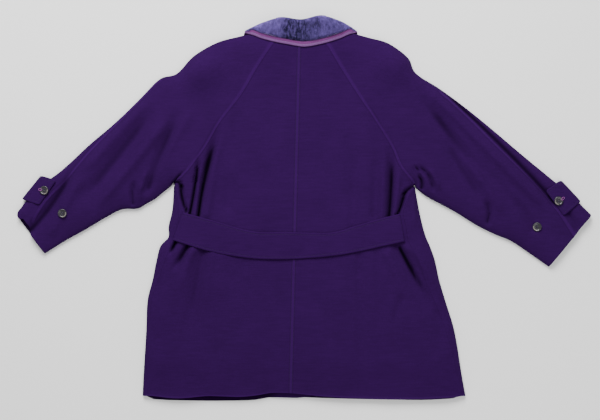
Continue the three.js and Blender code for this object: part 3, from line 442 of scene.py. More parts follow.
def edge(x, y):
    """Distance of points inside the outline from the nearest edge, and the direction that leads inwards."""
    best = np.full(np.shape(x), np.inf)
    out = {name: np.zeros(np.shape(x)) for name in ("nx", "ny", "px", "py", "inside")}
    vertex = np.zeros(np.shape(x), dtype=bool)
    for chain in CHAINS:
        for a, b in zip(chain[:-1], chain[1:]):
            f, px, py, away = nearest(a, b, x, y)
            closer = away < best
            best = np.where(closer, away, best)
            vertex = np.where(closer, (f == 0) | (f == 1), vertex)
            dx, dy = b - a
            length = math.hypot(dx, dy)
            normal = (dy / length, -dx / length)
            values = {
                "nx": normal[0], "ny": normal[1], "px": px, "py": py,
                "inside": (x - a[0]) * normal[0] + (y - a[1]) * normal[1],
            }
            for name, value in values.items():
                out[name] = np.where(closer, value, out[name])
    outside = (best < OUTSIDE_BAND) | ((out["inside"] < 0) & ~vertex)
    away = np.where(outside, 0, best)
    safe = np.maximum(away, 1)
    in_x = np.where(away < 1, out["nx"], (x - out["px"]) / safe)
    in_y = np.where(away < 1, out["ny"], (y - out["py"]) / safe)
    return away, in_x, in_y


# Heights of the two layers

HEM_LEVEL = -415
FOLD_PATHS = [bezier(FOLDS, i) for i in range(len(FOLDS["rise"]))]
TAB_RAMP = 30
WAVES = 9
WAVE_LENGTHS = (70, 190)
WAVE_HEIGHT = 0.14
PRESS_FADE = 6


def waves():
    """Low random swells of a cloth that lies by hand, as directions, lengths and phases."""
    random = np.random.default_rng(SEED)
    angle = random.uniform(0, math.pi, WAVES)
    length = random.uniform(*WAVE_LENGTHS, WAVES)
    phase = random.uniform(0, 2 * math.pi, WAVES)
    return 2 * math.pi * np.cos(angle) / length, 2 * math.pi * np.sin(angle) / length, phase


WAVE_X, WAVE_Y, WAVE_PHASE = waves()


def swell(x, y):
    height = np.zeros(np.shape(x))
    for wx, wy, phase in zip(WAVE_X, WAVE_Y, WAVE_PHASE):
        height = height + np.sin(wx * x + wy * y + phase)
    return WAVE_HEIGHT * height


def fold_heights(x, y):
    height = np.zeros(np.shape(x))
    for i, path in enumerate(FOLD_PATHS):
        away, along = along_path(path, x, y)
        taper = smooth(0, FOLDS["fade_in"][i], along) * smooth(1, 1 - FOLDS["fade_out"][i], along)
        width = mix(FOLDS["width"][i], FOLDS["narrow"][i], along)
        height = height + FOLDS["rise"][i] * taper * np.exp(-((away / width) ** 2))
    return height


def lift(x, y):
    """How far the two layers' seam is lifted by what lies under it: the collar's leaves and the cuff tabs."""
    neck = np.hypot((x - NECK_LIFT["x"]) / NECK_LIFT["rx"], (y - NECK_LIFT["y"]) / NECK_LIFT["ry"])
    height = COLLAR_ROOM * smooth(NECK_LIFT["ramp"], 0, (neck - 1) * NECK_LIFT["ry"])
    for tab_x, tab_y, radius in zip(TAB_LIFT["x"], TAB_LIFT["y"], TAB_LIFT["radius"]):
        outside = np.hypot(x - tab_x, y - tab_y) - radius
        height = np.maximum(height, TAB_ROOM * smooth(TAB_RAMP, 0, outside))
    return height


def smooth_height(x, y):
    height = BODY_HEIGHT - HEM_DROP * smooth(HEM_LEVEL + HEM_FADE, HEM_LEVEL, y)
    for mound in zip(*(MOUNDS[name] for name in ("x", "y", "rx", "ry", "rise"))):
        mx, my, rx, ry, rise = mound
        height = height + rise * np.exp(-(((x - mx) / rx) ** 2 + ((y - my) / ry) ** 2))
    return height


def under_belt(x, y):
    """1 where the belt presses the cloth flat, and 0 away from it."""
    top = np.interp(x, BELT["tx"], BELT["ty"])
    bottom = np.interp(x, BELT["bx"], BELT["by"])
    ends = np.minimum(x - BELT["bx"][0], BELT["bx"][-1] - x)
    inside = np.minimum.reduce([top - y, y - bottom, ends])
    return smooth(-PRESS_FADE / 3, PRESS_FADE, inside)


def full_height(x, y):
    plain = smooth_height(x, y)
    height = plain + fold_heights(x, y) + swell(x, y)
    height = np.where(height > plain, mix(height, plain, under_belt(x, y)), height)
    return np.maximum(height, lift(x, y) + LEAST_ROOM)


def rounded(away, reach):
    return np.arccos(1 - np.minimum(away / reach, 1))


def upper(x, y, out, height=full_height):
    """Points of the upper layer, moved out of it by a distance."""
    x, y, out = np.broadcast_arrays(*(np.asarray(v, dtype=float) for v in (x, y, out)))
    away, in_x, in_y = edge(x, y)
    angle = rounded(away, TOP_REACH)
    seam = lift(x, y) + EDGE_LIFT
    side = out * np.cos(angle)
    z = seam + (height(x, y) - seam + out) * np.sin(angle)
    return np.stack([x - side * in_x, y - side * in_y, z], axis=-1)


# Walls

SEAM_ROUND = 0.28
WELT = 0.6
WELT_WIDTH = 3.4
WELT_EDGE = 0.9
DIP = 0.2
DIP_WIDTH = 0.9
# Painted shade and painted highlights of the wool, kept in two point attributes: painted shade in stitched
# dips, deep creases and on the under layer, painted highlights along the seams and the back hem
PAINTED_DIP_SHADE = 0.3
PAINTED_SEAM_HIGHLIGHT = 0.7
SEAM_HALF = 2.4
PAINTED_HEM_HIGHLIGHT = 0.8
HEM_HALF = 1.6
PAINTED_HIGHLIGHT_RANGE = (5, 8)
PAINTED_LIGHT_ATTRIBUTES = ("PaintedShade", "PaintedHighlight")
PAINTED_CREASE_RANGE = (3.5, 12)
PAINTED_SHADE_SCALE = 0.1
PAINTED_HIGHLIGHT_SCALE = 1.7
PAINTED_UNDER_RANGE = (4.5, 2.5)
PAINTED_UNDER_SHADE = 0.6
PINCH = 1e-6
SHARP_ANGLE = math.radians(50)
SEAM_POINTS = {"centre": 12, "raglan": 24, "overarm": 19}
OVERARM_LAST = 6


def bulge(border, radius):
    """How much of its thickness a wall has near its cut edge, which is rounded."""
    inside = np.clip(border / radius, 0, 1)
    return np.sqrt(1 - (1 - inside) ** 2)


def seam_relief(away):
    """A pressed seam stands up a little where its allowance lies beneath, and dips along its topstitching."""
    welt = WELT * smooth(WELT_WIDTH + WELT_EDGE, WELT_WIDTH - WELT_EDGE, away)
    return welt - DIP * np.exp(-(((away - WELT_WIDTH) / DIP_WIDTH) ** 2))


def seam_paths():
    """The seams that show from above, as lines of points: centre back, raglans and overarms."""
    y = np.linspace(HEM_ROW, BACK_NECK, SEAM_POINTS["centre"])
    paths = [np.stack([centre_back(y), y], axis=-1)]
    for side in SIDES:
        paths.append(read_point(RAGLAN_BACK[side], "t", "", np.linspace(0, 1, SEAM_POINTS["raglan"])).T)
        keys = np.linspace(0, OVERARM_LAST, SEAM_POINTS["overarm"])
        stations = [sleeve_station(side, k) for k in keys]
        paths.append(np.array([along_station(s, s["length"] - s["strip"]) for s in stations]))
    return paths


SEAM_PATHS = seam_paths()


def painted_light_on_cloth(x, y, z):
    """How much painted shade cloth gets in creases, stitched dips and its under layer, and how much painted
    highlight by seams and hem.
    """
    level = z - lift(x, y)
    seam = np.minimum.reduce([along_path(path, x, y)[0] for path in SEAM_PATHS])
    dip = PAINTED_DIP_SHADE * np.exp(-(((seam - WELT_WIDTH) / DIP_WIDTH) ** 2))
    painted_crease_shade = smooth(*PAINTED_CREASE_RANGE, -fold_heights(x, y))
    dark = np.maximum.reduce([painted_crease_shade, PAINTED_UNDER_SHADE * smooth(*PAINTED_UNDER_RANGE, level), dip])
    hem = np.abs(y - read(BACK_HEM, "x", "y", x))
    pale = np.maximum(
        PAINTED_SEAM_HIGHLIGHT * np.exp(-((seam / SEAM_HALF) ** 2)), PAINTED_HEM_HIGHLIGHT * np.exp(-((hem / HEM_HALF) ** 2)))
    return dark, pale * smooth(*PAINTED_HIGHLIGHT_RANGE, level)


def wall_mesh(outer, inner, present=None):
    """Vertices and faces of a closed wall between two grids, which share a vertex where they meet."""
    rows, columns = outer.shape[:2]
    if present is None:
        present = np.ones((rows, columns), dtype=bool)
    count = int(present.sum())
    number = np.full((rows, columns), -1)
    number[present] = np.arange(count)
    apart = present & (np.linalg.norm(outer - inner, axis=-1) > PINCH)
    under = number.copy()
    under[apart] = count + np.arange(int(apart.sum()))
    vertices = np.vstack([outer[present], inner[apart]])
    cell = present[:-1, :-1] & present[1:, :-1] & present[:-1, 1:] & present[1:, 1:]
    faces = []

    def quads(keep, corners):
        stacked = np.stack([grid[keep] for grid in corners], axis=-1)
        faces.append(stacked)

    def around(grid):
        return [grid[:-1, :-1], grid[:-1, 1:], grid[1:, 1:], grid[1:, :-1]]

    quads(cell, around(number))
    quads(cell, around(under)[::-1])
    padded = np.pad(cell, 1)
    a, b, c, d = around(number)
    e, f, g, h = around(under)
    quads(cell & ~padded[:-2, 1:-1], (b, a, e, f))
    quads(cell & ~padded[1:-1, 2:], (c, b, f, g))
    quads(cell & ~padded[2:, 1:-1], (d, c, g, h))
    quads(cell & ~padded[1:-1, :-2], (a, d, h, e))
    return vertices, np.vstack(faces)


def tidy_faces(faces):
    """Faces without repeated corners. A face that closed to a line is left out."""
    kept = []
    for face in faces.tolist():
        corners = [n for i, n in enumerate(face) if n != face[i - 1]]
        if len(set(corners)) == len(corners) and len(corners) >= 3:
            kept.append(corners)
    return kept


def signed_volume(vertices, faces):
    a, b, c, d = (vertices[faces[:, i]] for i in range(4))
    return float(np.sum(a * (np.cross(b, c) + np.cross(c, d))))


def linked(name, data):
    """An object in the scene with its data."""
    thing = bpy.data.objects.new(name, data)
    bpy.context.scene.collection.objects.link(thing)
    return thing


def evaluated_mesh(piece):
    graph = bpy.context.evaluated_depsgraph_get()
    return bpy.data.meshes.new_from_object(piece.evaluated_get(graph), depsgraph=graph)


def piece_from(name, vertices, faces, material, with_painted_light=False):
    """A piece from vertices in millimetres, with its faces pointing out and, if asked, attributes of painted
    shade in its creases and painted highlights by its seams.
    """
    if signed_volume(vertices, faces) < 0:
        faces = faces[:, ::-1]
    mesh = bpy.data.meshes.new(name)
    mesh.from_pydata((vertices * MM).tolist(), [], tidy_faces(faces))
    if with_painted_light:
        for attribute, shade in zip(PAINTED_LIGHT_ATTRIBUTES, painted_light_on_cloth(*vertices.T)):
            values = mesh.attributes.new(attribute, "FLOAT", "POINT").data
            values.foreach_set("value", shade.astype(np.float32))
    mesh.materials.append(material)
    mesh.shade_smooth()
    mesh.set_sharp_from_angle(angle=SHARP_ANGLE)
    return linked(name, mesh)


# Cloth panels

PITCH = 5
END_STEPS = np.array([0, 0.15, 0.5, 1.4, 2.4, 3.6, 5.5, 8, 11, 15, 20])
CUT_STEPS = END_STEPS[:3]
SEAM_STEPS = END_STEPS[:7]
ROLL_ANGLES = np.radians([80, 70, 60, 50, 40, 30, 20, 10])
ROLL_STEPS = BOTTOM_REACH * (1 - np.cos(ROLL_ANGLES))
STRIP_SHARES = 1 - np.cos(np.linspace(0, math.pi / 2, 14))
FIRST_LEVEL = -396
FAR = 99
HEM_CREASE = 44
CREASE_DEPTH = 0.45
CREASE_WIDTH = 1.6
CUFF_CORNER = {"left": 12, "right": 3}
CUFF_SLIP = {"left": 8, "right": 0.8}
CUFF_REACH = 32
SLIP_START = (13, 20)
SLIP_END = (60, 40)
BACK_COLUMNS = 118
BACK_RAGLAN_ROWS = 72
FRONT_COLUMNS = 20
FRONT_RAGLAN_ROWS = 28
SLEEVE_COLUMNS = 44
SLEEVE_CAP_ROWS = 8
UNDER_SLEEVE_COLUMNS = 12
UNDER_SLEEVE_CAP_ROWS = 5
STATION_SAMPLES = 221
HEM_ROWS = 5
CROWDING = 0.45
CAP_CUT = 0.6
RAGLAN_WIDENED = 0.1
UNDERARM_STEPS = np.array([0, 0.3, 1.1, 1.7, 2.2, 2.6, 2.8])


def across(length, middle, fine_last=True):
    """Distances across a row: fine near its ends, where the cloth turns down, and even between them."""
    last = END_STEPS if fine_last else SEAM_STEPS
    share = np.linspace(0, 1, middle + 1)[1:-1]
    if not fine_last:
        share = share * (CROWDING + (1 - CROWDING) * share)
    inner = mix(END_STEPS[-1], length - last[-1], share)
    return np.concatenate([END_STEPS, inner, length - last[::-1]])


def strip_steps(length):
    """Distances from the outline to a seam on the upper layer, ending in the rounded cut edge."""
    return np.concatenate([STRIP_SHARES * (length - CUT_STEPS[2]), length - CUT_STEPS[1::-1]])


def layered(x, y, top, border, relief=0, lifted=0):
    """Outer and inner points of a wall of cloth, where top says which points are on the upper layer."""
    away, in_x, in_y = edge(x, y)
    angle = np.where(top, rounded(away, TOP_REACH), rounded(away, BOTTOM_REACH))
    seam = lift(x, y) + EDGE_LIFT
    level = np.zeros(np.shape(x))
    level[top] = full_height(x[top], y[top])
    part = bulge(border, SEAM_ROUND)
    surfaces = []
    for face in (1, -1):
        out = relief - CLOTH / 2 * (1 - face * part)
        side = out * np.cos(angle)
        rise = np.sin(angle)
        z = np.where(top, seam + (level - seam + out) * rise, seam - (EDGE_LIFT + out) * rise + lifted)
        surfaces.append(np.stack([x - side * in_x, y - side * in_y, z], axis=-1))
    return surfaces


def hem_y(hem, side, x):
    """Where a hem lies along Y. It starts at the side seam level with the other panel's."""
    past = np.abs(x - side_x(side, HEM_ROW)) - strip_at(side, HEM_ROW)
    return mix(HEM_ROW, read(hem, "x", "y", x), smooth(0, HEM_EASE, past))


def hem_shares(height):
    """Shares of the way from a hem to the first level row, with the hem's rounded edge."""
    distances = np.concatenate([CUT_STEPS[:-1], np.linspace(CUT_STEPS[-1], height, HEM_ROWS)])
    return distances / height, distances


def raglan_gap(t):
    return RAGLAN_GAP * (1 + smooth(RAGLAN_WIDENED, 0, t))


def raglan_point(rows, side, t, inside):
    """A point beside the raglan seam: on the body's side of the gap, or on the sleeve's."""
    sign = INWARDS[side] * (1 if inside else -1)
    point = read_point(rows[side], "t", "", t)
    point[0] += sign * raglan_gap(t) / 2
    return point


def crease(height):
    return -CREASE_DEPTH * np.exp(-(((height - HEM_CREASE) / CREASE_WIDTH) ** 2))


def back_rows(side):
    """Rows of a back panel from the hem to the underarm and along the raglan seam to the neck."""
    sign = INWARDS[side]

    def seam_start(y):
        return float(side_x(side, y) + sign * (strip_at(side, y) + SEAM_GAP / 2))

    def row(start, end, rim=FAR):
        length = math.hypot(end[0] - start[0], end[1] - start[1])
        d = across(length, BACK_COLUMNS, fine_last=False)
        f = d / length
        return mix(start[0], end[0], f), mix(start[1], end[1], f), d, length - d, np.full(len(d), float(rim))

    def centre(y):
        return centre_back(y) - sign * SEAM_GAP / 2

    hem_x, _, d, e, _ = row((seam_start(HEM_ROW), HEM_ROW), (centre(HEM_ROW), HEM_ROW))
    hem_line = hem_y(BACK_HEM, side, hem_x)
    first = row((seam_start(FIRST_LEVEL), FIRST_LEVEL), (centre(FIRST_LEVEL), FIRST_LEVEL))
    rows = []
    for share, rim in zip(*hem_shares(FIRST_LEVEL - HEM_ROW)):
        x = mix(hem_x, first[0], share)
        y = mix(hem_line, first[1], share)
        rows.append((x, y, d, e, np.full(len(d), rim)))
    for y in steps(FIRST_LEVEL, ARM_LEVEL, PITCH)[1:]:
        rows.append(row((seam_start(y), y), (centre(y), y)))
    low, high = np.array([seam_start(ARM_LEVEL), ARM_LEVEL]), raglan_point(RAGLAN_BACK, side, 0, True)
    for share in (1 / 3, 2 / 3):
        start = mix(low, high, share)
        rows.append(row(start, (centre(start[1]), start[1])))
    for t in np.linspace(0, 1, BACK_RAGLAN_ROWS):
        start = raglan_point(RAGLAN_BACK, side, t, True)
        level = min(float(start[1]), BACK_NECK)
        rows.append(row(start, (centre(level), level)))
    return columns_of(rows)


def back_mesh(side):
    x, y, from_side, from_centre, rim = back_rows(side)
    border = np.minimum(np.minimum(from_side, from_centre), rim)
    relief = seam_relief(from_side) + seam_relief(from_centre) + crease(y - read(BACK_HEM, "x", "y", x))
    outer, inner = layered(x, y, np.ones(x.shape, dtype=bool), border, relief)
    return wall_mesh(outer, inner)


def front_mesh(side):
    """A front: flat on the surface, rolling over the outline to the side seam, and up to the neckline."""
    sign = INWARDS[side]
    overlap = OVERLAP_COLUMNS[side]
    start, level = overlap[-1], overlap[3]
    panel = np.linspace(0, 1, FRONT_COLUMNS)[1:]
    rows = []

    def panel_x(outer_x):
        return np.concatenate([overlap, mix(start, outer_x, panel)])

    def rolled(y, y_at, rim):
        edge_x = float(side_x(side, y))
        strip = float(strip_at(side, y)) - SEAM_GAP / 2
        under = np.concatenate([panel_x(edge_x + sign * BOTTOM_REACH), edge_x + sign * ROLL_STEPS])
        over = strip_steps(strip)
        x = np.concatenate([under, edge_x + sign * over])
        top = np.arange(len(x)) >= len(under)
        border = np.concatenate([np.full(len(under), float(rim)), np.minimum(strip - over, rim)])
        relief = np.concatenate([np.zeros(len(under)), seam_relief(strip - over)])
        rows.append((x, y_at(x), top, border, relief, np.ones(len(x), dtype=bool)))

    for share, rim in zip(*hem_shares(FIRST_LEVEL - HEM_ROW)):
        y = mix(HEM_ROW, FIRST_LEVEL, share)
        rolled(y, lambda x, share=share: mix(hem_y(FRONT_HEM[side], side, x), FIRST_LEVEL, share), rim)
    for y in steps(FIRST_LEVEL, ARM_LEVEL, PITCH)[1:]:
        rolled(y, lambda x, y=y: np.full(len(x), y), FAR)
    first = float(RAGLAN_FRONT[side]["y"][0])
    width = len(rows[0][0])
    for t in np.linspace(0, 1, FRONT_RAGLAN_ROWS):
        seam_x, seam_y = raglan_point(RAGLAN_FRONT, side, t, True)
        x = panel_x(seam_x)
        share = np.clip((x - level) / (seam_x - level), 0, 1) ** FRONT_NECK_CURVE
        y = mix(mix(first, FRONT_NECK, t), seam_y, share)
        blank = np.zeros(width - len(x))
        rows.append((
            np.concatenate([x, blank]), np.concatenate([y, blank]), np.zeros(width, dtype=bool),
            np.full(width, float(FAR)), np.zeros(width), np.arange(width) < len(x),
        ))
    x, y, top, border, relief, present = columns_of(rows)
    lifted = OVERLAP_RAISE * smooth(start, level, x) * ~top if side == "left" else 0
    outer, inner = layered(x, y, top, border, relief, lifted)
    return wall_mesh(outer, inner, present)


def cuff_shift(side, from_over, rim, top):
    """How far a cuff is drawn in: round its outer corner, and where the upper layer has slipped."""
    radius = CUFF_CORNER[side]
    near = np.clip(radius - from_over, 0, radius)
    shift = radius - np.sqrt(radius ** 2 - near ** 2)
    slipped = smooth(*SLIP_START, from_over) * smooth(*SLIP_END, from_over) * CUFF_SLIP[side]
    return (shift + np.where(top, slipped, 0)) * smooth(CUFF_REACH, 0, rim)


def cuff_way(side):
    """The way along a sleeve from its cuff."""
    first, second = (sleeve_station(side, k) for k in (0, 1))
    way = second["under"] + second["over"] - first["under"] - first["over"]
    return way / math.hypot(*way)


def station_keys(side, pitch):
    """Sleeve stations about a pitch apart along the sleeve's middle, with the cuff's rounded edge first."""
    fine = np.linspace(0, LAST_STATION, STATION_SAMPLES)
    points = np.array([along_station(s, s["length"] / 2) for s in (sleeve_station(side, k) for k in fine)])
    run = run_along(points)
    even = np.arange(CUT_STEPS[-1] + pitch, run[-1] - pitch / 2, pitch)
    wanted = np.concatenate([CUT_STEPS, even, [run[-1]]])
    return np.interp(wanted, run, fine), wanted


def sleeve_back_mesh(side):
    """Upper layer of a sleeve, from the cuff to the raglan seam."""
    rows = []
    way = cuff_way(side)
    keys, rims = station_keys(side, PITCH)
    for k, rim in zip(keys, rims):
        station = sleeve_station(side, k)
        start = UNDERARM_SEAM + SEAM_GAP / 2
        length = station["length"] - station["strip"] - SEAM_GAP / 2 - start
        d = across(length, SLEEVE_COLUMNS)
        x, y = along_station(station, start + d)
        shift = cuff_shift(side, station["length"] - start - d, rim, True)
        x, y = x + way[0] * shift, y + way[1] * shift
        rows.append((x, y, d, length - d, np.full(len(d), rim), np.full(len(d), float(FAR))))
    last_x, last_y, d, e = rows[-1][:4]
    t = d / (d + e)
    seam = raglan_point(RAGLAN_BACK, side, t, False)
    run = np.hypot(seam[0] - last_x, seam[1] - last_y)
    near = np.minimum(CUT_STEPS[:, None], CAP_CUT * run)
    even = [run * (1 - f) for f in np.linspace(0, 1, SLEEVE_CAP_ROWS)[1:-1]]
    for distance in even + list(near[::-1]):
        f = 1 - np.minimum(distance / run, 1)
        from_seam = run * (1 - f)
        x, y = mix(last_x, seam[0], f), mix(last_y, seam[1], f)
        rows.append((x, y, d, e, np.full(len(d), float(FAR)), from_seam))
    x, y, from_under, from_over, rim, from_raglan = columns_of(rows)
    border = np.minimum.reduce([from_under, from_over, rim, from_raglan])
    relief = seam_relief(from_over) + seam_relief(from_raglan) + crease(rim)
    outer, inner = layered(x, y, np.ones(x.shape, dtype=bool), border, relief)
    return wall_mesh(outer, inner)


def sleeve_front_mesh(side):
    """Lower layer of a sleeve, rolling over both edges to the underarm seam and the overarm seam."""
    flat = np.linspace(0, 1, UNDER_SLEEVE_COLUMNS)
    rows = []
    way = cuff_way(side)
    keys, rims = station_keys(side, PITCH)
    for k, rim in zip(keys, rims):
        station = sleeve_station(side, k)
        length = station["length"]
        strip = station["strip"] - SEAM_GAP / 2
        over = strip_steps(strip)
        under_width = UNDERARM_SEAM - SEAM_GAP / 2
        spots = np.concatenate([
            under_width - UNDERARM_STEPS, ROLL_STEPS[::-1], mix(BOTTOM_REACH, length - BOTTOM_REACH, flat),
            length - ROLL_STEPS, length - over,
        ])
        ends = [len(UNDERARM_STEPS), len(spots) - len(over)]
        index = np.arange(len(spots))
        top = (index < ends[0]) | (index >= ends[1])
        border = np.full(len(spots), float(rim))
        border[:ends[0]] = np.minimum(UNDERARM_STEPS, rim)
        border[ends[1]:] = np.minimum(strip - over, rim)
        relief = np.zeros(len(spots))
        relief[ends[1]:] = seam_relief(strip - over)
        x, y = along_station(station, spots)
        shift = cuff_shift(side, length - spots, rim, top)
        x, y = x + way[0] * shift, y + way[1] * shift
        relief = relief + np.where(top, crease(rim), 0)
        rows.append((x, y, top, border, relief, np.ones(len(spots), dtype=bool)))
    before = len(UNDERARM_STEPS) + len(ROLL_STEPS)
    width = len(rows[0][0])
    middle = slice(before, before + len(flat))
    seam = raglan_point(RAGLAN_FRONT, side, flat, False)
    present = np.zeros(width, dtype=bool)
    present[middle] = True
    last_x, last_y = rows[-1][0], rows[-1][1]
    for f in np.linspace(0, 1, UNDER_SLEEVE_CAP_ROWS)[1:]:
        x, y = np.zeros(width), np.zeros(width)
        x[middle] = mix(last_x[middle], seam[0], f)
        y[middle] = mix(last_y[middle], seam[1], f)
        rows.append((x, y, np.zeros(width, dtype=bool), np.full(width, float(FAR)), np.zeros(width), present))
    x, y, top, border, relief, present = columns_of(rows)
    outer, inner = layered(x, y, top, border, relief)
    return wall_mesh(outer, inner, present)


# Collar, belt, tabs and buttons

QUARTER_TURN = np.radians([15, 30, 45, 60, 75, 90])
PILE_REACH = 1.6
PILE_OVERHANG = 2.6
BAND_MOST = 0.66
LUMPS = 0.7
LUMP_WAVES = 6
FALL_ROWS = 6
FALL_TURN_ROWS = 9
BAND_SHARES = np.array([0, 0.03, 0.1, 0.2, 0.3, 0.4, 0.46, 0.5, 0.54, 0.6, 0.7, 0.8, 0.9, 0.97, 1])
BAND_GROOVE = 0.8
COLLAR_LAST = 8
COLLAR_KEYS = np.linspace(0, COLLAR_LAST, 65)
LINE_KEYS = np.linspace(0, COLLAR_LAST, 97)
# The binding's lower edge comes to a shallow point in the middle of the back
POINT = {"x": 1.3, "reach": 34, "depth": 2.2}
PILE_EDGE = 3.5
PILE_COMB = (0.0, -1.7, -0.1)
PILE_LEAST = 0.1
FALL_TURN = 0.95
SKIN_ROUND = 0.6
GROOVE_PLACE = 0.5
GROOVE_SHARE = 0.05
LEAF_COLUMNS = 16
LEAF_TURN = 0.32
LEAF_KEYS = np.concatenate([np.linspace(0, LEAF_TURN, 13), np.linspace(0.4, 3, 20)])

# Stitched edges, cuff tabs and belt
STITCH_INSET = 5.5
STITCH_DENT = 0.22
STITCH_DENT_WIDTH = 1.1
TAB_CORNER = 5
TAB_TURN = TAB_UNDER_REACH * (1 - np.cos(QUARTER_TURN))
TAB_UNDER_STEPS = np.array([14, 20, 27, TAB_UNDER - 1.1, TAB_UNDER - 0.3, TAB_UNDER])
TAB_EDGE_STEPS = np.array([2.2, 3.4, 4.6, 5.5, 6.4, 8])
TAB_ROLL = {"rise": 0.4, "middle": 2, "width": 1.8}
TAB_COLUMNS = 12
TAB_INNER = 12
TAB_ROWS = 10
BELT_ROLL = {"rise": 0.25, "middle": 2.2, "width": 2}
BELT_SAMPLES = 141
BELT_ROWS = 10
BELT_PITCH = 4
BELT_EVEN = {"first": 5, "last": 3}
BELT_EDGE_STEPS = np.array([2.4, 3.6, 4.4, 5.0, 5.5, 6.0, 6.6, 7.6, 10])


def collar_at(s):
    low, high = (read_point(COLLAR, "s", prefix, s) for prefix in "tq")
    low[1] -= POINT["depth"] * max(0, 1 - abs(low[0] - POINT["x"]) / POINT["reach"])
    depth = math.hypot(*(high - low))
    return {
        "low": low, "high": high, "depth": depth, "band": min(BINDING_WIDTH, BAND_MOST * depth),
        "roll": max(float(read(COLLAR, "s", "roll", s)), NECK_ROLL),
        "fur": float(read(COLLAR, "s", "fur", s)), "top": float(read(COLLAR, "s", "top", s)),
    }


def across_collar(station, u):
    f = np.asarray(u, dtype=float) / station["depth"]
    return [mix(station["low"][axis], station["high"][axis], f) for axis in (0, 1)]


def fold_points(station, d, angle, outer_level, inner_level):
    """Points on the collar's rounded fold, at distances d from its edge."""
    rise = np.sin(angle)
    ox, oy = across_collar(station, station["depth"] - d)
    ix, iy = across_collar(station, station["depth"] - d - station["fur"] * np.cos(angle))
    outer = np.stack([ox, oy, mix(station["roll"], outer_level, rise)], axis=-1)
    inner = np.stack([ix, iy, mix(station["roll"], inner_level, rise)], axis=-1)
    return outer, inner


def collar_mesh():
    """The fall with its stand, a little inside the pile's tips, and low lumps where the pile parts."""
    random = np.random.default_rng(SEED)
    lump = random.uniform(0, 2 * math.pi, (LUMP_WAVES, 3))
    outers, inners, present = [], [], []
    for s in COLLAR_KEYS:
        station = collar_at(s)
        start = max(station["depth"] - station["band"] - PILE_OVERHANG, PILE_LEAST * station["depth"])
        reach = min(FALL_REACH, start * FALL_TURN)
        turn = reach * (1 - np.cos(np.linspace(0, math.pi / 2, FALL_TURN_ROWS)))
        d = np.concatenate([np.linspace(start, reach, FALL_ROWS)[:-1], turn[::-1]])
        angle = rounded(d, reach)
        outer, inner = fold_points(station, d, angle, station["top"], station["top"] - station["fur"])
        wave = sum(np.sin(outer[:, 0] * (0.1 + 0.03 * i) + outer[:, 1] * (0.13 + 0.02 * i) * a + b)
                   for i, (a, b, _) in enumerate(lump))
        outer[:, 2] += (LUMPS * wave / 3 - PILE_REACH) * np.sin(angle)
        from_edge = np.clip((start - d) / PILE_EDGE, 0, 1)
        outer[:, 2] -= SKIN_ROUND * station["fur"] * (1 - np.sqrt(1 - (1 - from_edge) ** 2))
        outer[:, 1] -= PILE_REACH * np.cos(angle)
        d = np.append(STAND["reach"] * (1 - np.cos(QUARTER_TURN)), 0)
        rise = (STAND["neckline"] - station["low"][1]) / (station["high"][1] - station["low"][1])
        d[-1] = station["depth"] * (1 - rise)
        foot, head = STAND["foot"], STAND["foot"] + STAND["thick"]
        stand = fold_points(station, d, np.append(QUARTER_TURN, math.pi / 2), foot, head)
        stands = STAND["from"] <= s <= STAND["to"]
        outers.append(np.vstack([outer, stand[0]]))
        inners.append(np.vstack([inner, stand[1]]))
        present.append([True] * len(outer) + [stands] * len(stand[0]))
    return wall_mesh(np.array(outers), np.array(inners), np.array(present))


def half_binding(v):
    """Half of the binding's thickness at shares of its width, rounded at both edges."""
    return BINDING_THICK / 2 * bulge(np.minimum(v, 1 - v) * BINDING_WIDTH, BINDING_THICK / 2)


def banded(v):
    """Height of the folded binding over its middle: two crowned bands with the stitched groove between."""
    return half_binding(v) - BAND_GROOVE * np.exp(-(((v - GROOVE_PLACE) / GROOVE_SHARE) ** 2))


def binding_level(station):
    """Height of the middle of the binding's thickness, which lies on the neck of the coat."""
    return float(upper(*station["low"], 0)[2]) + 2 * STACK_GAP + BINDING_THICK / 2


def binding_back_mesh():
    rows = []
    for s in LINE_KEYS:
        station = collar_at(s)
        level = binding_level(station)
        x, y = across_collar(station, station["band"] * BAND_SHARES)
        rows.append([np.stack([x, y, level + banded(BAND_SHARES)], axis=-1),
                     np.stack([x, y, level - half_binding(BAND_SHARES)], axis=-1)])
    return wall_mesh(*columns_of(rows))


def groove_line(out=0.0):
    """A line along the binding's groove, a distance above it."""
    points = []
    for s in LINE_KEYS:
        station = collar_at(s)
        x, y = across_collar(station, station["band"] * GROOVE_PLACE)
        points.append((float(x), float(y), binding_level(station) + float(banded(GROOVE_PLACE)) + out))
    return points


def above_groove(groove, point):
    """Whether a point of the binding lies on the side of the groove that is next to the fur."""
    near = int(np.argmin(np.abs(groove[:, 0] - point[0])))
    return point[1] > groove[near, 1]


def leaf_mesh(side, first, last, thick):
    """A front leaf of the collar: pile down on the surface, rolling up at the neck to meet the fall."""
    roll = NECK_ROLL - STACK_GAP
    shares = np.linspace(0, 1, LEAF_COLUMNS)

    def row(s):
        outer, inner = (read_point(LEAF[side], "s", prefix, s) for prefix in "oi")
        width = math.hypot(*(inner - outer))
        w = mix(first / width, 1 if last is None else last / width, shares)
        return np.stack([mix(outer[axis], inner[axis], w) for axis in (0, 1)], axis=-1)

    heads = row(0)
    way = row(LEAF_TURN) - heads
    way /= np.linalg.norm(way, axis=-1, keepdims=True)
    outers, inners = [], []
    for s in LEAF_KEYS:
        spots = row(s)
        angle = rounded(np.linalg.norm(spots - heads, axis=-1), LEAF_REACH)
        rise = np.sin(angle)
        shift = (thick * LEAF_ROLL_THICK * np.cos(angle))[:, None] * way
        outers.append(np.column_stack([spots, mix(roll, 0, rise)]))
        inners.append(np.column_stack([spots + shift, mix(roll, thick, rise)]))
    return wall_mesh(np.array(outers), np.array(inners))


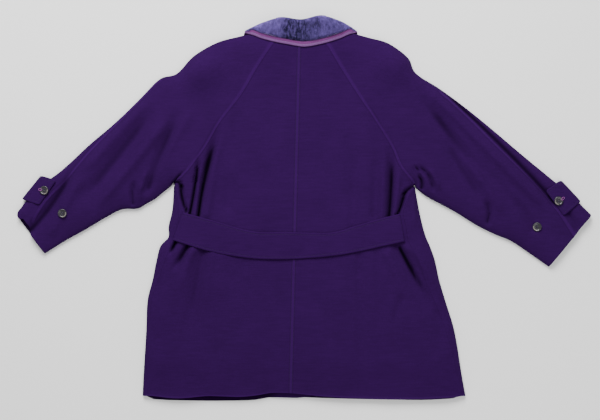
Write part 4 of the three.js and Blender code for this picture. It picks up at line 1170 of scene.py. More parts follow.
def belt_spots(u, v):
    """Places on the belt: u runs along it and v from its top edge to its bottom edge."""
    return [mix(read(BELT, "u", "t" + axis, u), read(BELT, "u", "b" + axis, u), v) for axis in "xy"]


def edge_relief(near, roll):
    """Relief of a strip near its long edges: the dent of its stitches and the ridge of its turned edge."""
    dent = -STITCH_DENT * np.exp(-(((near - STITCH_INSET) / STITCH_DENT_WIDTH) ** 2))
    return dent + roll["rise"] * np.exp(-(((near - roll["middle"]) / roll["width"]) ** 2))


def belt_mesh():
    samples = np.linspace(0, BELT["u"][-1], BELT_SAMPLES)
    top, bottom = (np.array([belt_spots(u, v) for u in samples]) for v in (0, 1))
    run = run_along((top + bottom) / 2)
    even = np.arange(BELT_EVEN["first"], run[-1] - BELT_EVEN["last"], BELT_PITCH)
    spots = np.concatenate([CUT_STEPS, even, run[-1] - CUT_STEPS[::-1]])
    keys = np.interp(spots, run, samples)
    xs, ys, borders, reliefs = [], [], [], []
    for key, spot in zip(keys, spots):
        width = math.hypot(*(np.array(belt_spots(key, 1)) - np.array(belt_spots(key, 0))))
        inner = BELT_EDGE_STEPS
        even = np.linspace(inner[-1], width - inner[-1], BELT_ROWS)[1:-1]
        d = np.concatenate([CUT_STEPS, inner, even, width - inner[::-1], width - CUT_STEPS[::-1]])
        x, y = belt_spots(key, d / width)
        near = np.minimum(d, width - d)
        xs.append(x)
        ys.append(y)
        borders.append(np.minimum(near, min(spot, run[-1] - spot)))
        reliefs.append(edge_relief(near, BELT_ROLL))
    x, y, border, relief = (np.array(v) for v in (xs, ys, borders, reliefs))
    part = bulge(border, BELT_THICK / 2)
    middle = BELT_GAP + BELT_THICK / 2
    faces = [upper(x, y, middle + BELT_THICK / 2 * part + relief, smooth_height),
             upper(x, y, middle - BELT_THICK / 2 * part, smooth_height)]
    return wall_mesh(*faces)


def tab_level(x, y, d):
    angle = rounded(d, TAB_REACH)
    return angle, mix(TAB_FOLD, smooth_height(x, y) + 2 * STACK_GAP, np.sin(angle))


def tab_line(side, v):
    """Fold point of a cuff tab at v across its width, the way to its sewn end, and its length."""
    rows = TAB[side]
    fold = np.array([mix(rows["ex"][0], rows["ex"][1], v), mix(rows["ey"][0], rows["ey"][1], v)])
    sewn = np.array([mix(rows["sx"][0], rows["sx"][1], v), mix(rows["sy"][0], rows["sy"][1], v)])
    length = math.hypot(*(sewn - fold))
    return fold, (sewn - fold) / length, length


def tab_surface(side, v, d):
    """Top of a cuff tab over the sleeve, at distances d from its fold."""
    fold, way, _ = tab_line(side, v)
    x, y = fold[0] + way[0] * d, fold[1] + way[1] * d
    angle, level = tab_level(x, y, d)
    return np.array([x, y, level + TAB_THICK * np.sin(angle)])


def tab_mesh(side):
    """Cuff tab: sewn to the back of the sleeve, folded round its over edge and along the underside."""
    first, last = tab_line(side, 0)[0], tab_line(side, 1)[0]
    width = math.hypot(*(last - first))
    even = np.linspace(TAB_INNER, width - TAB_INNER, TAB_COLUMNS)
    spots = np.concatenate([
        CUT_STEPS, TAB_EDGE_STEPS, even, width - TAB_EDGE_STEPS[::-1], width - CUT_STEPS[::-1]])
    outers, inners = [], []
    for spot in spots:
        fold, way, length = tab_line(side, spot / width)
        near = min(spot, width - spot)
        inset = TAB_CORNER - math.sqrt(TAB_CORNER ** 2 - max(TAB_CORNER - near, 0) ** 2)
        fold, length = fold + way * inset, length - 2 * inset
        even = np.linspace(length - 3, TAB_UNDER_REACH, TAB_ROWS)
        over = np.concatenate([length - CUT_STEPS, even, TAB_TURN[-2::-1], [0]])
        under = np.concatenate([TAB_TURN, TAB_UNDER_STEPS])
        x, y = fold[0] + way[0] * over, fold[1] + way[1] * over
        angle, level = tab_level(x, y, over)
        part = bulge(np.minimum(length - over, near), TAB_THICK / 2)
        highs = []
        for depth in (TAB_THICK / 2 * (1 + part) + edge_relief(near, TAB_ROLL), TAB_THICK / 2 * (1 - part)):
            shift = TAB_THICK * np.cos(angle) * (1 - depth / TAB_THICK)
            z = level + depth * np.sin(angle)
            highs.append(np.stack([x + way[0] * shift, y + way[1] * shift, z], axis=-1))
        angle = rounded(under, TAB_UNDER_REACH)
        part = bulge(np.minimum(TAB_UNDER - under, near), TAB_THICK / 2)
        lows = []
        for depth in (TAB_THICK / 2 * (1 - part), TAB_THICK / 2 * (1 + part)):
            d = under + depth * np.cos(angle)
            level = mix(TAB_FOLD, depth, np.sin(angle))
            lows.append(np.stack([fold[0] + way[0] * d, fold[1] + way[1] * d, level], axis=-1))
        outers.append(np.vstack([highs[0], lows[0]]))
        inners.append(np.vstack([highs[1], lows[1]]))
    return wall_mesh(np.array(outers), np.array(inners))


BUTTON = {
    "radius": 9.8, "thick": 3.2, "rim": 2.2, "dish": 0.7, "hole": 1.0, "ring": 2.5, "seat": 0.4, "sides": 48,
    "hole_sides": 16, "thread": 0.5, "thread_rise": 0.2, "slope_share": 0.8,
}

# A painted highlight on a stretch of each button's rim, in pale horn: its direction, radii and the cosine of
# its half width
GLINT = {"left": -40, "right": 215}
GLINT_RING = (6.6, 8.9)
GLINT_SPAN = 0.6
GLINT_FACING = 0.3

# Buttonholes: place, direction in degrees, and half their length and width
HOLE = {"left": (-577, 42, 168), "right": (568.5, 22, 38)}
HOLE_LONG, HOLE_WIDE, HOLE_COUNT = 4.2, 2.2, 32
HOLE_CLIMB = (2.4, -0.5)
HOLE_RISE = 0.6


def button_seat(place, x, y):
    """Height of what a button is sewn to."""
    side = BUTTON_PLACES[place][2]
    if side is None:
        return upper(x, y, 0)[..., 2]
    rows = TAB[side]
    ways = rows["ex"][1] - rows["ex"][0], rows["ey"][1] - rows["ey"][0]
    away = np.abs(ways[0] * (y - rows["ey"][0]) - ways[1] * (x - rows["ex"][0])) / math.hypot(*ways)
    angle, level = tab_level(x, y, away)
    return level + TAB_THICK * np.sin(angle)


def button_frame(place):
    """Matrix that stands a button, made on z = 0, on its cloth."""
    x, y, _ = BUTTON_PLACES[place]
    span = BUTTON["slope_share"] * BUTTON["radius"]
    slope_x = float(button_seat(place, x + span, y) - button_seat(place, x - span, y)) / (2 * span)
    slope_y = float(button_seat(place, x, y + span) - button_seat(place, x, y - span)) / (2 * span)
    normal = Vector((-slope_x, -slope_y, 1)).normalized()
    turn = Vector((0, 0, 1)).rotation_difference(normal).to_matrix().to_4x4()
    at = Vector((x, y, float(button_seat(place, x, y)))) + normal * BUTTON["seat"]
    return Matrix.Translation(at) @ turn


def lathe(profile, sides):
    """Quads of a closed solid turned about Z, from a profile that starts and ends on the axis."""
    turns = 2 * math.pi * np.arange(sides) / sides
    ring = profile[1:-1]
    vertices = [[0, 0, profile[0][1]], [0, 0, profile[-1][1]]]
    for radius, z in ring:
        vertices += [[radius * math.cos(a), radius * math.sin(a), z] for a in turns]
    faces = []
    for i in range(sides):
        j = (i + 1) % sides
        faces.append([0, 2 + j, 2 + i, 2 + i])
        for level in range(len(ring) - 1):
            base = 2 + level * sides
            faces.append([base + i, base + j, base + sides + j, base + sides + i])
        top = 2 + (len(ring) - 1) * sides
        faces.append([1, top + i, top + j, top + j])
    return np.array(vertices, dtype=float), np.array(faces)


def button_solid():
    """The button's disc, with its rounded rim and the dish inside it."""
    r, thick, rim, dish = (BUTTON[name] for name in ("radius", "thick", "rim", "dish"))
    profile = [
        (0, 0), (r - 1.6, 0), (r - 0.5, 0.5), (r - 0.05, 1.1), (r, 1.7), (r - 0.15, 2.5),
        (r - 0.6, thick - 0.15), (r - 1.1, thick), (r - rim, thick - 0.05),
        (r - rim - 0.45, thick - dish * 0.5), (r - rim - 1.0, thick - dish),
        (r * 0.4, thick - dish * 0.8), (0, thick - dish * 0.75),
    ]
    return lathe(profile, BUTTON["sides"])


def hole_solid(x, y):
    """A drill for one hole, which passes through the whole disc."""
    low, high = -1, BUTTON["thick"] + 1.8
    profile = [(0, low), (BUTTON["hole"], low), (BUTTON["hole"], high), (0, high)]
    vertices, faces = lathe(profile, BUTTON["hole_sides"])
    return vertices + np.array([x, y, 0]), faces


def joined(parts):
    """One list of vertices and faces from several."""
    vertices, faces, start = [], [], 0
    for part_vertices, part_faces in parts:
        vertices.append(part_vertices)
        faces.append(part_faces + start)
        start += len(part_vertices)
    return np.vstack(vertices), np.vstack(faces)


def capsule(a, b, radius, sides=8):
    """A short round bar between two points, with blunt ends."""
    a, b = np.array(a, dtype=float), np.array(b, dtype=float)
    length = float(np.linalg.norm(b - a))
    profile = [(0, -radius), (radius * 0.7, -radius * 0.7), (radius, 0), (radius, length),
               (radius * 0.7, length + radius * 0.7), (0, length + radius)]
    vertices, faces = lathe(profile, sides)
    turn = Vector((0, 0, 1)).rotation_difference(Vector(b - a)).to_matrix()
    return vertices @ np.array(turn).T + a, faces


def placed(vertices, matrix):
    return vertices @ np.array(matrix.to_3x3()).T + np.array(matrix.translation)


# Lines of thread

BACK_STITCHES = ((-398, -114), (-44, 352))
BACK_STITCH_RISE = 0.05
STITCH_RISE = 0.1
BINDING_STITCH_RISE = 0.25
BELT_STITCH_END = 0.06
TAB_STITCH_START = 4
LINE_POINTS = {"back": 120, "belt": 150, "tab": 20}


def buttonhole_line(side):
    """An oval line round a buttonhole, which climbs over the button's rim where the two cross."""
    x, y, turn = HOLE[side]
    turn = math.radians(turn)
    place = f"tab_button_{side}"
    button_x, button_y, _ = BUTTON_PLACES[place]
    points = []
    for a in np.linspace(0, 2 * math.pi, HOLE_COUNT + 1):
        u, v = HOLE_LONG * math.cos(a), HOLE_WIDE * math.sin(a)
        px = x + u * math.cos(turn) - v * math.sin(turn)
        py = y + u * math.sin(turn) + v * math.cos(turn)
        away = math.hypot(px - button_x, py - button_y)
        climb = float(smooth(*(BUTTON["radius"] + step for step in HOLE_CLIMB), away))
        over = (BUTTON["seat"] + BUTTON["thick"]) * climb
        points.append((px, py, float(button_seat(place, px, py)) + over + HOLE_RISE))
    return points


def back_seam_lines():
    lines = []
    for first, last in BACK_STITCHES:
        y = np.linspace(first, last, LINE_POINTS["back"])
        for away in (-WELT_WIDTH, WELT_WIDTH):
            relief = seam_relief(abs(away) - SEAM_GAP / 2)
            lines.append(upper(centre_back(y) + away, y, float(relief) + BACK_STITCH_RISE))
    return lines


def belt_lines():
    lines = []
    for from_top in (True, False):
        xs, ys = [], []
        for u in np.linspace(BELT_STITCH_END, BELT["u"][-1] - BELT_STITCH_END, LINE_POINTS["belt"]):
            width = math.hypot(*(np.array(belt_spots(u, 1)) - np.array(belt_spots(u, 0))))
            share = STITCH_INSET / width
            x, y = belt_spots(u, share if from_top else 1 - share)
            xs.append(float(x))
            ys.append(float(y))
        lines.append(upper(xs, ys, BELT_GAP + BELT_THICK - STITCH_DENT + STITCH_RISE, smooth_height))
    return lines


def tab_lines(side):
    """Stitches along both long edges of a tab and its sewn end."""
    first, last = tab_line(side, 0)[0], tab_line(side, 1)[0]
    share = STITCH_INSET / math.hypot(*(last - first))
    length = tab_line(side, 0.5)[2] - STITCH_INSET
    spots = np.linspace(TAB_STITCH_START, length, LINE_POINTS["tab"])
    dented = (0, 0, STITCH_RISE - STITCH_DENT)
    lines = [[tab_surface(side, v, d) + dented for d in spots] for v in (share, 1 - share)]
    ends = np.linspace(share, 1 - share, LINE_POINTS["tab"])
    return lines + [[tab_surface(side, v, length) + (0, 0, STITCH_RISE) for v in ends]]


# Finishes

# Worn patches of the fur: place, radius across and how dark they are
PATCHES = ((-22, 388, 24, 1.0), (6, 390, 16, 0.9), (30, 402, 12, 0.8), (66, 396, 18, 0.4))
PATCH_SQUEEZE = 0.55
PATCH_RAGGED = 26
PATCH_SOFT = 7


def add_node(tree, kind, links=None, values=None, **settings):
    """A node with its settings, its plain values, and its links from other nodes' outputs."""
    node = tree.nodes.new(kind)
    for name, value in settings.items():
        setattr(node, name, value)
    for name, value in (values or {}).items():
        node.inputs[name].default_value = value
    for name, source in (links or {}).items():
        tree.links.new(source, node.inputs[name])
    return node.outputs


class Finish:
    """A material under construction: its nodes, with the small helpers that every finish here uses."""

    def __init__(self, name, roughness, sheen=0.0, sheen_tint=(1, 1, 1), coat=0.0, shine=0.35):
        self.material = bpy.data.materials.new(name)
        self.material.use_nodes = True
        self.tree = self.material.node_tree
        self.shader = self.tree.nodes["Principled BSDF"]
        values = {
            "Roughness": roughness, "Metallic": 0.0, "Sheen Weight": sheen, "Sheen Roughness": 0.45,
            "Sheen Tint": (*sheen_tint, 1), "Coat Weight": coat, "Specular IOR Level": shine,
        }
        for socket, value in values.items():
            self.shader.inputs[socket].default_value = value
        self.places = self.node("ShaderNodeTexCoord")["Object"]

    def node(self, kind, links=None, values=None, **settings):
        return add_node(self.tree, kind, links, values, **settings)

    def stretched(self, stretch):
        return self.node("ShaderNodeMapping", {"Vector": self.places}, {"Scale": stretch})["Vector"]

    def noise(self, scale, detail=3.0, stretch=(1, 1, 1)):
        values = {"Scale": scale, "Detail": detail, "Roughness": 0.6}
        return self.node("ShaderNodeTexNoise", {"Vector": self.stretched(stretch)}, values)["Fac"]

    def ramp(self, factor, low, high, first, last):
        colour = self.node("ShaderNodeValToRGB", {"Fac": factor})["Color"]
        stops = colour.node.color_ramp.elements
        for stop, position, shade in zip(stops, (low, high), (first, last)):
            stop.position = position
            stop.color = (*shade, 1)
        return colour

    def mottled(self, colour, noise, span, shades):
        """A colour that noise varies between two shades of it."""
        return self.ramp(self.noise(*noise), *span, *(scaled(colour, shade) for shade in shades))

    def plain(self, colour):
        plain = self.node("ShaderNodeRGB")[0]
        plain.default_value = (*colour, 1)
        return plain

    def blend(self, factor, first, last):
        links, values = {6: first, 7: last}, {}
        place = values if isinstance(factor, float) else links
        place[0] = factor
        return self.node("ShaderNodeMix", links, values, data_type="RGBA")[2]

    def bump(self, height, strength, distance, under=None):
        links = {"Height": height}
        if under is not None:
            links["Normal"] = under
        return self.node("ShaderNodeBump", links, {"Strength": strength, "Distance": distance})["Normal"]

    def done(self, colour=None, normal=None):
        for socket, source in (("Base Color", colour), ("Normal", normal)):
            if source is not None:
                self.tree.links.new(source, self.shader.inputs[socket])
        return self.material


def scaled(colour, factor):
    return tuple(min(c * factor, 1) for c in colour)


def wool_finish(name, colour, light):
    """Melton: a close nap that is mottled up close and a little worn over broad stretches, with painted shade
    in creases and painted highlights by seams, read from attributes.
    """
    finish = Finish(name, 0.95, sheen=0.02, sheen_tint=light, shine=0.03)
    nap = finish.mottled(colour, (700, 2.0), (0.35, 0.68), (0.72, 1.35))
    wear = finish.mottled(colour, (16, 4.0), (0.38, 0.66), (0.88, 1.13))
    slub = finish.mottled(colour, (420, 3.0, (0.07, 1, 1)), (0.36, 0.66), (0.82, 1.24))
    fine = finish.bump(finish.noise(1500, 2.0), 0.3, 0.0006)
    cloth = finish.blend(0.35, finish.blend(0.5, nap, wear), slub)
    # Painted shade and painted highlights: the attributes blend the colour towards a darker and a paler shade
    # of it
    for attribute, factor in zip(reversed(PAINTED_LIGHT_ATTRIBUTES), (PAINTED_HIGHLIGHT_SCALE, PAINTED_SHADE_SCALE)):
        shade = finish.node("ShaderNodeAttribute", attribute_name=attribute)["Fac"]
        cloth = finish.blend(shade, cloth, finish.plain(scaled(colour, factor)))
    return finish.done(cloth, finish.bump(finish.noise(130, 4.0), 0.35, 0.0012, fine))


def fur_finish(name, colour, dark):
    """Short plush, violet with dark worn patches whose rims are ragged, mottled along the pile."""
    finish = Finish(name, 0.85, sheen=0.25, sheen_tint=scaled(colour, 2.2), shine=0.1)
    plush = finish.mottled(colour, (170, 4.0, (1, 0.45, 1)), (0.34, 0.68), (0.6, 1.5))
    worn = finish.ramp(finish.noise(240, 4.0, (1, 0.4, 1)), 0.42, 0.74, dark, scaled(colour, 1.1))
    ragged = finish.noise(60, 5.0)
    for x, y, radius, strength in PATCHES:
        away = finish.node(
            "ShaderNodeVectorMath", {0: finish.stretched((1, PATCH_SQUEEZE, 0))},
            {1: (x * MM, y * MM * PATCH_SQUEEZE, 0)}, operation="DISTANCE")["Value"]
        rough = finish.node(
            "ShaderNodeMath", {0: ragged, 2: away}, {1: PATCH_RAGGED * MM}, operation="MULTIPLY_ADD")["Value"]
        middle = radius + PATCH_RAGGED / 2
        span = {"From Min": (middle + PATCH_SOFT) * MM, "From Max": (middle - PATCH_SOFT) * MM}
        inside = finish.node("ShaderNodeMapRange", {"Value": rough}, {**span, "To Max": strength})["Result"]
        plush = finish.blend(inside, plush, worn)
    return finish.done(plush, finish.bump(finish.noise(600, 3.0), 0.4, 0.001))


def leather_finish(name, colour):
    finish = Finish(name, 0.6, shine=0.15)
    grain = finish.mottled(colour, (420, 3.0), (0.3, 0.7), (0.75, 1.2))
    return finish.done(grain, finish.bump(finish.noise(800, 3.0), 0.25, 0.0005))


def horn_finish(name, colour):
    finish = Finish(name, 0.28, coat=0.3)
    return finish.done(finish.mottled(colour, (90, 4.0, (1, 3, 1)), (0.3, 0.75), (0.6, 1.6)))


def thread_finish(name, colour):
    finish = Finish(name, 0.7, sheen=0.3, sheen_tint=colour)
    return finish.done(finish.mottled(colour, (900, 1.0), (0.3, 0.7), (0.8, 1.15)))


def plain_finish(name, colour, roughness):
    finish = Finish(name, roughness)
    finish.shader.inputs["Base Color"].default_value = (*colour, 1)
    return finish.done()


def finish_named(name, make, *values):
    """The finish with that name, made on its first use."""
    return bpy.data.materials.get(name) or make(name, *values)


# Geometry Nodes


def new_tree(name, inputs):
    """An empty tree that takes and returns geometry, with named inputs."""
    tree = bpy.data.node_groups.new(name, "GeometryNodeTree")
    tree.interface.new_socket("Geometry", in_out="INPUT", socket_type="NodeSocketGeometry")
    for label, kind in inputs.items():
        tree.interface.new_socket(label, in_out="INPUT", socket_type=f"NodeSocket{kind}")
    tree.interface.new_socket("Geometry", in_out="OUTPUT", socket_type="NodeSocketGeometry")
    return tree, tree.nodes.new("NodeGroupInput").outputs, tree.nodes.new("NodeGroupOutput").inputs


def hand_out(tree, instances, material, result):
    """Makes a tree's instances real, gives them their material and hands them out."""
    real = add_node(tree, "GeometryNodeRealizeInstances", {"Geometry": instances})
    dressed = add_node(tree, "GeometryNodeSetMaterial", {"Geometry": real["Geometry"], "Material": material})
    tree.links.new(dressed["Geometry"], result["Geometry"])
    return tree


def stitch_tree():
    """Stitches of one length and thickness, evenly apart along the lines of the mesh, turned along them."""
    tree, given, result = new_tree("Jacket stitches", {
        "Pitch": "Float", "Length": "Float", "Thickness": "Float", "Material": "Material"})
    lines = add_node(tree, "GeometryNodeMeshToCurve", {"Mesh": given["Geometry"]})
    spaced = add_node(tree, "GeometryNodeResampleCurve", {"Curve": lines["Curve"], "Length": given["Pitch"]},
                      mode="LENGTH")
    stitch = add_node(tree, "GeometryNodeMeshUVSphere", values={"Segments": 6, "Rings": 4, "Radius": 0.5})
    size = add_node(tree, "ShaderNodeCombineXYZ", {
        "X": given["Length"], "Y": given["Thickness"], "Z": given["Thickness"]})
    tangent = add_node(tree, "GeometryNodeInputTangent")
    turn = add_node(tree, "FunctionNodeAlignRotationToVector", {"Vector": tangent["Tangent"]}, axis="X")
    laid = add_node(tree, "GeometryNodeInstanceOnPoints", {
        "Points": spaced["Curve"], "Instance": stitch["Mesh"], "Rotation": turn["Rotation"],
        "Scale": size["Vector"]})
    return hand_out(tree, laid["Instances"], given["Material"], result)


def pile_tree():
    """Fur strands scattered over the skin's upward faces, combed one way and ruffled at random."""
    tree, given, result = new_tree("Jacket pile", {
        "Density": "Float", "Length": "Float", "Thickness": "Float", "Comb": "Vector", "Ruffle": "Float",
        "Seed": "Int", "Material": "Material"})
    normal = add_node(tree, "GeometryNodeInputNormal")
    parts = add_node(tree, "ShaderNodeSeparateXYZ", {"Vector": normal["Normal"]})
    upward = add_node(tree, "FunctionNodeCompare", {"A": parts["Z"]}, {"B": -0.1}, data_type="FLOAT",
                      operation="GREATER_THAN")
    spread = add_node(tree, "GeometryNodeDistributePointsOnFaces", {
        "Mesh": given["Geometry"], "Selection": upward["Result"], "Density": given["Density"],
        "Seed": given["Seed"]})
    random = add_node(tree, "FunctionNodeRandomValue", {"Seed": given["Seed"]},
                      {0: (-1, -1, -1), 1: (1, 1, 1)}, data_type="FLOAT_VECTOR")
    ruffle = add_node(tree, "ShaderNodeVectorMath", {0: random[0], "Scale": given["Ruffle"]},
                      operation="SCALE")
    combed = add_node(tree, "ShaderNodeVectorMath", {0: spread["Normal"], 1: given["Comb"]}, operation="ADD")
    way = add_node(tree, "ShaderNodeVectorMath", {0: combed["Vector"], 1: ruffle["Vector"]}, operation="ADD")
    turn = add_node(tree, "FunctionNodeAlignRotationToVector", {"Vector": way["Vector"]}, axis="Z")
    strand = add_node(tree, "GeometryNodeMeshCone", values={
        "Vertices": 3, "Side Segments": 1, "Radius Top": 0.0, "Radius Bottom": 1.0, "Depth": 1.0},
        fill_type="NONE")
    size = add_node(tree, "ShaderNodeCombineXYZ", {
        "X": given["Thickness"], "Y": given["Thickness"], "Z": given["Length"]})
    vary = add_node(tree, "FunctionNodeRandomValue", {"Seed": given["Seed"]}, {2: 0.6, 3: 1.15},
                    data_type="FLOAT")
    length = add_node(tree, "ShaderNodeVectorMath", {0: size["Vector"], "Scale": vary[1]}, operation="SCALE")
    grown = add_node(tree, "GeometryNodeInstanceOnPoints", {
        "Points": spread["Points"], "Instance": strand["Mesh"], "Rotation": turn["Rotation"],
        "Scale": length["Vector"]})
    return hand_out(tree, grown["Instances"], given["Material"], result)


def grown_from(name, mesh, tree, values):
    """A piece made by running a tree on a mesh, as plain geometry."""
    piece = linked(name, mesh)
    modifier = piece.modifiers.new("Nodes", "NODES")
    modifier.node_group = tree
    for item in tree.interface.items_tree:
        if item.in_out == "INPUT" and item.name in values:
            modifier[item.identifier] = values[item.name]
    made = evaluated_mesh(piece)
    piece.modifiers.remove(modifier)
    piece.data = made
    made.name = name
    if not made.polygons:
        raise RuntimeError(f"{name} came out empty")
    return piece


def lines_mesh(name, lines):
    """A mesh of open lines, from lists of points in millimetres."""
    vertices, edges = [], []
    for line in lines:
        start = len(vertices)
        vertices += [tuple(float(c) * MM for c in point) for point in line]
        edges += [(start + i, start + i + 1) for i in range(len(line) - 1)]
    mesh = bpy.data.meshes.new(name)
    mesh.from_pydata(vertices, edges, [])
    return mesh


# Properties


def length_property(name, description, default):
    return FloatProperty(name=name, description=description, default=default, unit="LENGTH")


def colour_property(name, description, default):
    return FloatVectorProperty(name=name, description=description, subtype="COLOR", size=3, min=0, max=1,
                               default=default)


class JacketSizes(PropertyGroup):
    """Sizes of what is sewn on the cloth."""

    stitch_pitch: length_property("Stitch Pitch", "Distance from one topstitch to the next", 0.0034)
    stitch_length: length_property("Stitch Length", "Length of thread that shows in a topstitch", 0.0026)
    stitch_thickness: length_property("Stitch Thickness", "Thickness of a topstitch", 0.0007)
    purl_pitch: length_property("Purl Pitch", "Distance between the loops of a buttonhole's edge", 0.0007)
    purl_thickness: length_property("Purl Thickness", "Thickness of a buttonhole's corded edge", 0.0012)
    pile_length: length_property("Pile Length", "Length of a strand of the collar's fur", 0.0044)
    pile_thickness: length_property("Pile Thickness", "Thickness of a strand of fur at its root", 0.00026)
    pile_density: FloatProperty(
        name="Pile Density", description="Strands of fur for each square metre of skin", default=3.2e6, min=0)
    pile_ruffle: FloatProperty(
        name="Pile Ruffle", description="How far strands stray from their combed way", default=0.55, min=0)
    seed: IntProperty(name="Seed", description="Seed of everything scattered at random", default=SEED, min=0)


class JacketColours(PropertyGroup):
    """Colours of the jacket's materials."""

    wool: colour_property("Wool", "Melton of the body and sleeves", (0.0200, 0.0028, 0.0450))
    wool_light: colour_property("Wool Light", "Light that the nap catches at a slant", (0.55, 0.35, 0.9))
    fur: colour_property("Fur", "Plush at the sides of the collar", (0.115, 0.078, 0.270))
    fur_dark: colour_property("Fur Dark", "Worn patch in the middle of the collar", (0.010, 0.008, 0.035))
    leather_upper: colour_property("Upper Band", "Band of the binding by the fur", (0.145, 0.030, 0.158))
    leather_lower: colour_property("Lower Band", "Band of the binding by the neck", (0.116, 0.044, 0.152))
    horn: colour_property("Horn", "Buttons", (0.017, 0.016, 0.020))
    # Colour of the painted highlight on a stretch of each button's rim
    horn_rim: colour_property("Horn Rim", "Pale worn stretch of the buttons' rims", (0.13, 0.12, 0.105))
    thread: colour_property("Thread", "Topstitching", (0.018, 0.004, 0.045))
    mauve: colour_property("Buttonhole Thread", "Corded edge of the buttonholes", (0.26, 0.06, 0.26))


# Pieces


def declare(piece, node=None):
    """Says what a piece rides on and hides the frame's node that it stands for."""
    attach(piece, BODY)
    if node is not None:
        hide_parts(node)
    return piece


def stitched(name, lines, colour, slot, pitch, length, thickness):
    """A piece of thread: stitches along lines of points."""
    tree = bpy.data.node_groups.get("Jacket stitches") or stitch_tree()
    mesh = lines_mesh(name + "_lines", lines)
    piece = grown_from(name, mesh, tree, {
        "Pitch": pitch, "Length": length, "Thickness": thickness,
        "Material": finish_named(name + "_thread", thread_finish, tuple(colour))})
    return declare(piece)


class JacketOperator:
    """What the jacket's operators share."""

    bl_options = {"REGISTER", "UNDO"}

    @staticmethod
    def colours():
        return bpy.context.scene.jacket_colours

    @staticmethod
    def sizes():
        return bpy.context.scene.jacket_sizes

    def wool(self, name, shape, node, cut, with_painted_light=True):
        """One finished piece of wool."""
        colours = self.colours()
        melton = finish_named("melton", wool_finish, tuple(colours.wool), tuple(colours.wool_light))
        declare(piece_from(name, *shape, melton, with_painted_light=with_painted_light), node)


class JACKET_OT_backs(JacketOperator, Operator):
    """Two back panels, with the seam in the middle of the back"""

    bl_idname = "jacket.backs"
    bl_label = "Back Panels"

    def execute(self, context):
        for side in SIDES:
            self.wool(f"wool_back_{side}", back_mesh(side), f"back_{side}", "wool_back")
        return {"FINISHED"}


class JACKET_OT_fronts(JacketOperator, Operator):
    """Two fronts, which wrap round the outline to the side seams"""

    bl_idname = "jacket.fronts"
    bl_label = "Fronts"

    def execute(self, context):
        for side in SIDES:
            self.wool(f"wool_front_{side}", front_mesh(side), f"front_{side}", "wool_front")
        return {"FINISHED"}


class JACKET_OT_sleeves(JacketOperator, Operator):
    """Raglan sleeves, each of a back half and a front half"""

    bl_idname = "jacket.sleeves"
    bl_label = "Sleeves"

    def execute(self, context):
        for side in SIDES:
            for half, make in (("sleeve_back", sleeve_back_mesh), ("sleeve_front", sleeve_front_mesh)):
                self.wool(f"wool_{half}_{side}", make(side), f"{half}_{side}", f"wool_{half}")
        return {"FINISHED"}


class JACKET_OT_tabs(JacketOperator, Operator):
    """Cuff tabs, folded round the sleeves' over edges"""

    bl_idname = "jacket.tabs"
    bl_label = "Cuff Tabs"

    def execute(self, context):
        for side in SIDES:
            self.wool(f"wool_tab_{side}", tab_mesh(side), f"cuff_tab_{side}", "wool_tab", with_painted_light=False)
        return {"FINISHED"}


class JACKET_OT_belt(JacketOperator, Operator):
    """Back belt, sewn in at both side seams and sagging between them"""

    bl_idname = "jacket.belt"
    bl_label = "Back Belt"

    def execute(self, context):
        self.wool("wool_belt", belt_mesh(), "back_belt", "wool_belt", with_painted_light=False)
        return {"FINISHED"}


class JACKET_OT_collar(JacketOperator, Operator):
    """Fur collar: the fall behind the neck with its pile, and the two leaves under the fronts"""

    bl_idname = "jacket.collar"
    bl_label = "Fur Collar"

    def execute(self, context):
        colours, sizes = self.colours(), self.sizes()
        fur = finish_named("plush", fur_finish, tuple(colours.fur), tuple(colours.fur_dark))
        skin = piece_from("fur_collar_back", *collar_mesh(), fur)
        pile = grown_from("fur_pile_back", skin.data.copy(), pile_tree(), {
            "Density": sizes.pile_density, "Length": sizes.pile_length, "Thickness": sizes.pile_thickness,
            "Comb": PILE_COMB, "Ruffle": sizes.pile_ruffle, "Seed": sizes.seed, "Material": fur})
        declare(skin, "collar_back")
        declare(pile)
        for side in SIDES:
            leaf = leaf_mesh(side, BINDING_WIDTH + STACK_GAP, None, FUR)
            piece = piece_from(f"fur_leaf_{side}", *leaf, fur)
            declare(piece, f"collar_leaf_{side}")
        return {"FINISHED"}


class JACKET_OT_bindings(JacketOperator, Operator):
    """Leather binding along the collar's edge, in two bands"""

    bl_idname = "jacket.bindings"
    bl_label = "Leather Binding"

    def execute(self, context):
        colours = self.colours()
        upper_band = finish_named("leather_upper", leather_finish, tuple(colours.leather_upper))
        lower_band = finish_named("leather_lower", leather_finish, tuple(colours.leather_lower))
        piece = piece_from("leather_binding_back", *binding_back_mesh(), lower_band)
        piece.data.materials.append(upper_band)
        groove = np.array(groove_line())
        for face in piece.data.polygons:
            face.material_index = int(above_groove(groove, face.center / MM))
        declare(piece, "binding_back")
        for side in SIDES:
            leaf = leaf_mesh(side, 0, BINDING_WIDTH, BINDING_THICK)
            piece = piece_from(f"leather_leaf_{side}", *leaf, lower_band)
            declare(piece, f"binding_leaf_{side}")
        return {"FINISHED"}


